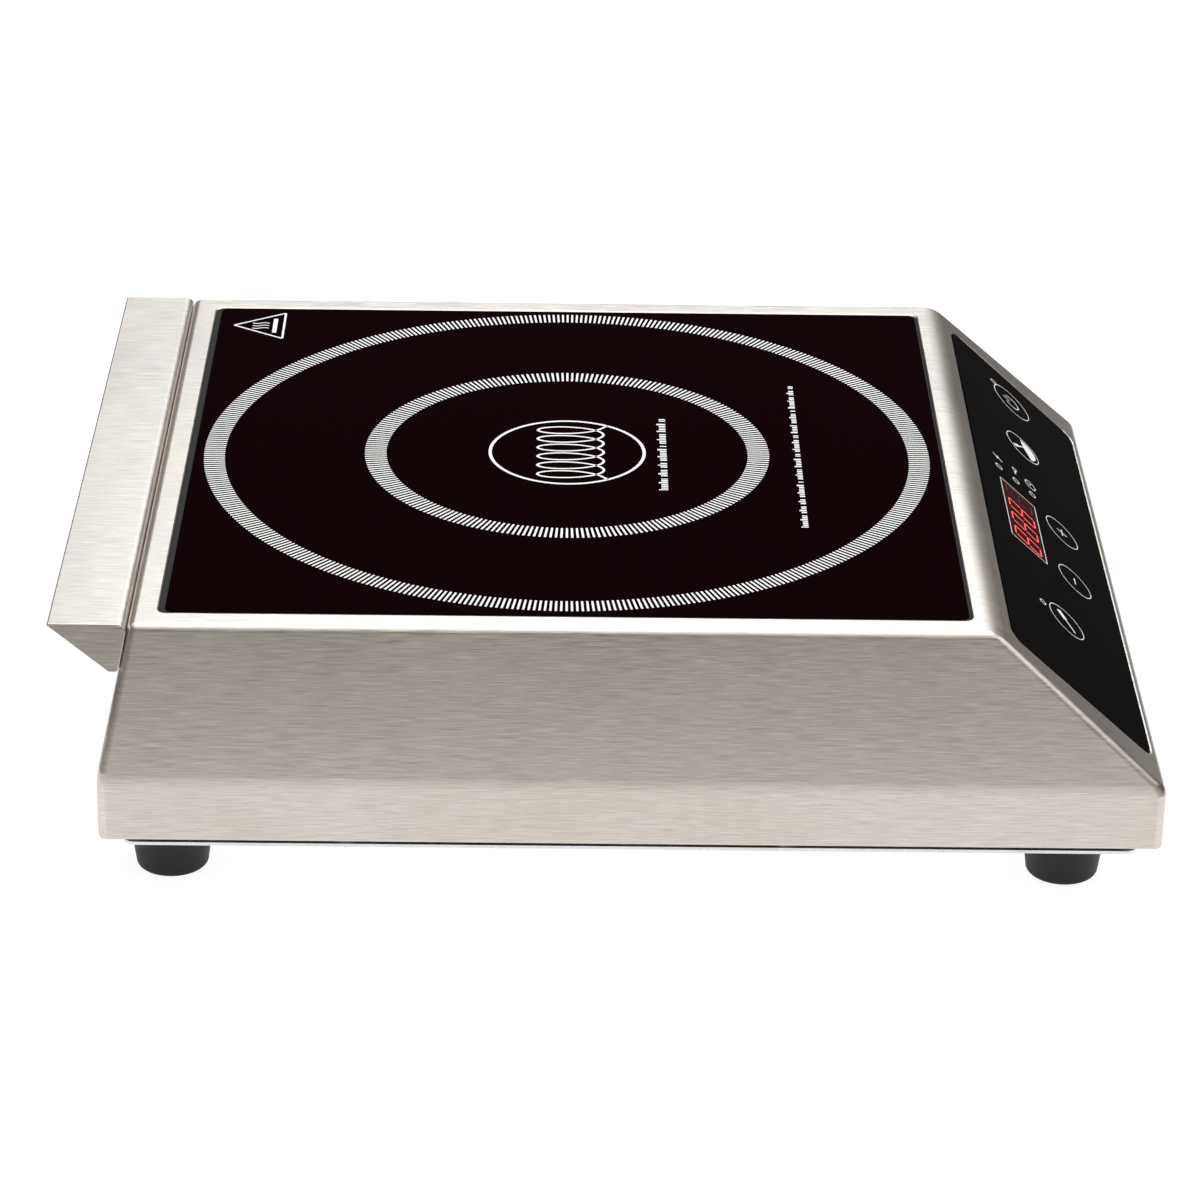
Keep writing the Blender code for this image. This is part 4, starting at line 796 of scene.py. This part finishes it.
def make_panel_print():
    """Five round keys, five small lamp rings, three small signs, and the display's frame line."""
    form = bmesh.new()
    power = (115.6, 41.1)
    ring(form, power, 9.8)
    strokes(form, power, 3.9, [arc((0, 0), 1, math.radians(128), math.radians(412), 32)], 0.5)
    strokes(form, power, 3.9, [[(0, 0.25), (0, 1.25)]], 0.5)
    ring(form, (122.0, 31.5), 1.4)

    ladle = (71.8, 41.7)
    ring(form, ladle, 8.8)
    bowl = arc((ladle[0], -ladle[1]), 7.2, math.radians(215), math.radians(365), 15)
    prism(bowl + [(ladle[0] + 1.2, -ladle[1] - 0.4)], 0, 1, "Z", form)
    strokes(form, ladle, 4.6, [[(-1.0, 1.15), (-0.45, 0.55)]], 1.7)
    strokes(form, ladle, 4.6, [[(-0.45, 0.55), (0.25, -0.1)]], 0.6)

    plus = (12.7, 55.3)
    ring(form, plus, 8.5)
    strokes(form, plus, 2.7, [[(-1, 0), (1, 0)], [(0, -1), (0, 1)]], 0.6)
    minus = (-29.0, 56.2)
    ring(form, minus, 8.5)
    strokes(form, minus, 2.6, [[(-1, 0), (1, 0)]], 0.6)

    timer = (-78.9, 44.5)
    ring(form, timer, 8.8)
    strokes(form, timer, 5.0, [[(0.9, 0.75), (0.15, 0.1)]], 2.6)
    strokes(form, timer, 5.0, [[(0.15, 0.1), (-0.9, -0.75)]], 0.9)
    ring(form, (-80.2, 32.0), 1.4, 0.45)

    lamps = ((24.8, 22.5), (25.6, 31.9), (26.4, 41.0))
    for lamp in lamps:
        ring(form, lamp, 1.6, 0.45)
    strokes(form, (33.9, 22.8), 2.4, [[(0.5, 1), (-0.5, 0), (0.4, 0), (-0.5, -1)]], 0.6)
    strokes(form, (35.3, 32.6), 2.4, [[(-1, 0), (0.4, 0)]], 0.8)
    ring(form, (37.0, 32.6), 1.1, 0.45)
    ring(form, (35.1, 41.0), 2.8, 0.45)
    strokes(form, (35.1, 41.0), 1.7, [[(0, 1), (0, 0), (0.8, -0.3)]], 0.5)

    ribbon(form, window_outline(0.0, 0.6), 0.38, 0, 1, closed=True)
    print_on_panel("panel_print", form)


DIGIT_WIDTH = 7.0
DIGIT_HEIGHT = 13.2
DIGIT_SLANT = 1.1
DIGIT_PITCH = 12.45
FIRST_DIGIT = (-30.0, -31.1)
DIGITS = 4
LIT_DIGITS = 3
SEGMENT_WIDTH = 0.55
SEGMENT_GAP = 0.45
SEGMENTS = {"a": ((-1, 1), (1, 1)), "b": ((1, 1), (1, 0)), "c": ((1, 0), (1, -1)),
            "d": ((-1, -1), (1, -1)), "e": ((-1, 0), (-1, -1)), "f": ((-1, 1), (-1, 0)),
            "g": ((-1, 0), (1, 0))}


def make_display():
    """A dark red window behind the frame line, with three lit digits and a dark one."""
    window = prism(window_outline(0.4, 0.5), 0, 1)
    print_on_panel("display_window", window, "control_glass", WINDOW, -0.005 * MM)
    lit = bmesh.new()
    dark = bmesh.new()
    for number in range(DIGITS):
        form = lit if number < LIT_DIGITS else dark
        centre = Vector((FIRST_DIGIT[0] + number * DIGIT_PITCH, FIRST_DIGIT[1]))
        for ends in SEGMENTS.values():
            first, last = [centre + Vector((u * DIGIT_WIDTH / 2 + v * DIGIT_SLANT,
                                            v * DIGIT_HEIGHT / 2)) for u, v in ends]
            along = (last - first).normalized() * SEGMENT_GAP
            ribbon(form, [first + along, last - along], SEGMENT_WIDTH, 0, 1)
    print_on_panel("digits_lit", lit, "display_red", level=0.03 * MM)
    print_on_panel("digit_unlit", dark, "control_glass", UNLIT, level=0.03 * MM)


# ============================================================================ feet and fasteners
def make_feet():
    """Rubber feet: a moulded collar, a slight taper, a rounded sole and a recess for the screw."""
    for node in sorted(frame["nodes"]):
        if not node.startswith("foot_") or node.startswith("foot_screw"):
            continue
        low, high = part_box(node)
        top = (high.z - low.z) / MM
        wide = (high.x - low.x) / 2 / MM
        sole = wide - FOOT_TAPER - FOOT_EDGE_R
        profile = [(FOOT_BORE_R, top), (wide - 0.5, top), (wide, top - 0.5), (wide, top - 2.6),
                   (wide - 0.4, top - 3.0)]
        profile += arc((sole, FOOT_EDGE_R), FOOT_EDGE_R, 0, -math.pi / 2, 5)
        profile += [(FOOT_RECESS_R + 0.6, 0), (FOOT_RECESS_R, 0.6), (FOOT_RECESS_R, FOOT_RECESS),
                    (FOOT_BORE_R, FOOT_RECESS)]
        middle = ((low.x + high.x) / 2, (low.y + high.y) / 2, low.z)
        piece(f"rubber_{node}", turned(profile, 64), "black_rubber", [node],
              Matrix.Translation(middle), sharp=40)


def make_screws():
    """Pan-head screws with a cross recess, seen from below."""
    for node in sorted(frame["nodes"]):
        if "_screw_" not in node or node.startswith(("guard", "carrier")):
            continue
        low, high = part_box(node)
        radius, head, shank = SCREW_SIZES[node.split("_")[0]]
        length = (high.z - low.z) / MM - head
        profile = [(0, head), (radius * 0.5, head * 0.97), (radius * 0.8, head * 0.82),
                   (radius * 0.95, head * 0.55), (radius, head * 0.2), (radius, 0), (shank, 0),
                   (shank, -length + 1), (shank * 0.5, -length), (0, -length)]
        slot = (radius * 1.05 * MM, SCREW_SLOT * MM)
        steps = [("DIFFERENCE", slab((0, 0), size, head * 0.4 * MM, (head + 1) * MM), None)
                 for size in (slot, slot[::-1])]
        middle = Vector(((low.x + high.x) / 2, (low.y + high.y) / 2, low.z + head * MM))
        place = Matrix.Translation(middle) @ Matrix.Rotation(math.pi, 4, "X")
        form = carved(turned(profile, 32), steps)
        piece(f"pan_head_{node}", form, "zinc_screw", [node], place)


def make_probe_spring():
    """The spring under the temperature probe, wound from round wire, with a mesh of its own."""
    low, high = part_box("sensor_spring")
    middle = (low + high) / 2
    coil = (high.x - low.x) / 2 - SPRING_WIRE
    rise = high.z - low.z - 2 * SPRING_WIRE
    steps = SPRING_TURNS * 24
    form = bmesh.new()
    rings = []
    for step in range(steps + 1):
        turn = Matrix.Rotation(step / steps * SPRING_TURNS * math.tau, 3, "Z")
        height = low.z + SPRING_WIRE + rise * step / steps
        section = [(coil + across, 0, up) for across, up in arc((0, 0), SPRING_WIRE, steps=8)]
        rings.append([form.verts.new(turn @ Vector(spot) + Vector((middle.x, middle.y, height)))
                      for spot in section])
    for near, far in zip(rings, rings[1:]):
        for side in range(len(near)):
            form.faces.new((near[side - 1], near[side], far[side], far[side - 1]))
    form.faces.new(rings[0])
    form.faces.new(rings[-1])
    bmesh.ops.recalc_face_normals(form, faces=form.faces)
    spring = piece("probe_spring", form, "spring_steel", ["sensor_spring"], sharp=60)
    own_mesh(spring)


def make_gland():
    """The clamping nut of the cord gland: a ribbed hexagon that closes in a dome."""
    place = Matrix.Translation(GLAND_PLACE) @ Matrix.Rotation(-math.pi / 2, 4, "X")
    low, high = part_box("cable_gland_nut")
    base = (low.y - GLAND_PLACE[1]) / MM
    top = (high.y - GLAND_PLACE[1]) / MM
    wide = (high.x - low.x) / 2 / MM
    dome = turned([(4.2, top), (5.8, top), (6.9, top - 0.5), (7.8, top - 1.8), (8.3, base + 4.2),
                   (8.3, base), (6.8, base), (6.8, top - 3.2), (4.2, top - 3.2)], 48)
    hexagon = bmesh.new()
    drum((0, 0), wide * MM, base * MM, (base + 4.6) * MM, 6, hexagon)
    bmesh.ops.bevel(hexagon, geom=list(hexagon.edges), offset=0.5 * MM, segments=3, profile=0.5,
                    affect="EDGES")
    bore = drum((0, 0), 6.7 * MM, (base - 1) * MM, (base + 6) * MM, 48)
    steps = [("UNION", hexagon, None)]
    ribs = bmesh.new()
    for index in range(12):
        angle = (index + 0.5) / 12 * math.tau
        drum((8.3 * MM * math.cos(angle), 8.3 * MM * math.sin(angle)), 0.45 * MM, (base + 4.2) * MM,
             (top - 1.6) * MM, 10, ribs)
    steps += [("UNION", ribs, None), ("DIFFERENCE", bore, None)]
    piece("gland_nut", carved(dome, steps), "black_plastic", ["cable_gland_nut"], place)


# =============================================================================== studio, camera
CAMERA_PLACE = (-1.48818, 0.0205, 0.76344)
CAMERA_AZIMUTH = math.radians(-90.7)
CAMERA_ELEVATION = math.radians(25.93)
CAMERA_ROLL = math.radians(0.89)
CAMERA_LENS = 130.14

# Name, place, aim, size, radiance and colour of each light; the camera looks along +X.
SOFTBOXES = (
    ("overhead", (0.0, 0.0, 1.7), (0, 0, 0), (1.5, 1.5), 1.85, (0.88, 0.95, 1.0)),
    ("far_strip", (0.95, -0.19, 1.15), (0, 0, 0.1), (1.2, 0.6), 3.35, (0.85, 0.94, 1.0)),
    ("front_strip", (-0.35, -1.3, 1.05), (0, -0.15, 0.05), (1.2, 0.3), 4.0, (1, 1, 1)),
    ("near_fill", (-1.6, -0.7, 1.5), (0, 0, 0.05), (1.2, 1.0), 0.35, (1, 0.95, 0.9)),
)
SKY_LEVELS = ((0.0, 0.08), (0.10, 0.05), (0.50, 0.12), (0.68, 0.9), (1.0, 1.0))   # by height
SKY_TINT = (1.0, 0.96, 0.90)
TABLE_CORNERS = ((-0.47, -0.35), (0.97, -0.35), (0.97, 0.40), (-0.47, 0.40))
TABLE_SHADES = ((0.215, 0.215, 0.215), (0.225, 0.225, 0.225))
TABLE_GLOW = 0.90


def make_camera():
    data = bpy.data.cameras.new("camera")
    data.lens = CAMERA_LENS
    data.sensor_width = 36
    item = bpy.data.objects.new("camera", data)
    bpy.context.scene.collection.objects.link(item)
    ahead = Vector((-math.sin(CAMERA_AZIMUTH) * math.cos(CAMERA_ELEVATION),
                    math.cos(CAMERA_AZIMUTH) * math.cos(CAMERA_ELEVATION),
                    -math.sin(CAMERA_ELEVATION)))
    turn = ahead.to_track_quat("-Z", "Y").to_matrix() @ Matrix.Rotation(CAMERA_ROLL, 3, "Z")
    item.matrix_world = Matrix.Translation(CAMERA_PLACE) @ turn.to_4x4()
    bpy.context.scene.camera = item


def softbox(name, place, aim, size, radiance, colour):
    """A rectangular area light that shines evenly with a given radiance."""
    data = bpy.data.lights.new(name, "AREA")
    data.shape = "RECTANGLE"
    data.size = size[0]
    data.size_y = size[1]
    data.energy = radiance * math.pi * size[0] * size[1]
    data.color = colour
    item = bpy.data.objects.new(name, data)
    bpy.context.scene.collection.objects.link(item)
    ahead = Vector(aim) - Vector(place)
    turn = ahead.to_track_quat("-Z", "Y").to_matrix()
    item.matrix_world = Matrix.Translation(place) @ turn.to_4x4()
    item.visible_camera = False


def make_studio():
    """A sky that is dark at the horizon, four softboxes, and a table the metal can mirror."""
    world = bpy.data.worlds.new("studio")
    bpy.context.scene.world = world
    world.use_nodes = True
    tree = world.node_tree
    sky = tree.nodes["Background"]
    direction = tree.nodes.new("ShaderNodeTexCoord")
    split = tree.nodes.new("ShaderNodeSeparateXYZ")
    tree.links.new(direction.outputs["Generated"], split.inputs[0])
    ramp = tree.nodes.new("ShaderNodeValToRGB")
    tree.links.new(split.outputs["Z"], ramp.inputs["Fac"])
    while len(ramp.color_ramp.elements) < len(SKY_LEVELS):
        ramp.color_ramp.elements.new(0.5)
    for element, (height, level) in zip(ramp.color_ramp.elements, SKY_LEVELS):
        element.position = height
        element.color = (*(level * share for share in SKY_TINT), 1)
    tree.links.new(ramp.outputs["Color"], sky.inputs["Color"])
    backdrop = tree.nodes.new("ShaderNodeBackground")
    seen = tree.nodes.new("ShaderNodeLightPath")
    choose = tree.nodes.new("ShaderNodeMixShader")
    tree.links.new(seen.outputs["Is Camera Ray"], choose.inputs["Fac"])
    tree.links.new(sky.outputs[0], choose.inputs[1])
    tree.links.new(backdrop.outputs[0], choose.inputs[2])
    tree.links.new(choose.outputs[0], tree.nodes["World Output"].inputs["Surface"])
    backdrop.inputs["Color"].default_value = (1, 1, 1, 1)

    for light in SOFTBOXES:
        softbox(*light)

    floor = bpy.data.meshes.new("floor")
    form = bmesh.new()
    outline = rounded(TABLE_CORNERS, (0.05,) * 4)
    form.faces.new([form.verts.new((*corner, 0)) for corner in outline])
    form.to_mesh(floor)
    form.free()
    finish, tree, shader = new_finish("studio table", (0.22, 0.22, 0.22), 0.9)
    place = object_place(tree)
    tree.links.new(tint(tree, noise(tree, place, 6, 2), *TABLE_SHADES), shader.inputs["Base Color"])
    shader.inputs["Emission Color"].default_value = (1, 1, 1, 1)
    shader.inputs["Emission Strength"].default_value = TABLE_GLOW
    floor.materials.append(finish)
    item = bpy.data.objects.new("floor", floor)
    bpy.context.scene.collection.objects.link(item)
    bpy.context.scene.view_settings.view_transform = "Standard"


# ========================================================================================= build
dress_frame()
make_camera()
make_studio()
make_housing()
make_guard()
make_cooking_glass()
make_rings()
make_coil_symbol()
make_hot_symbol()
for notice in NOTICES:
    make_notice(*notice)
make_control_glass()
make_panel_print()
make_display()
make_feet()
make_screws()
make_probe_spring()
make_gland()
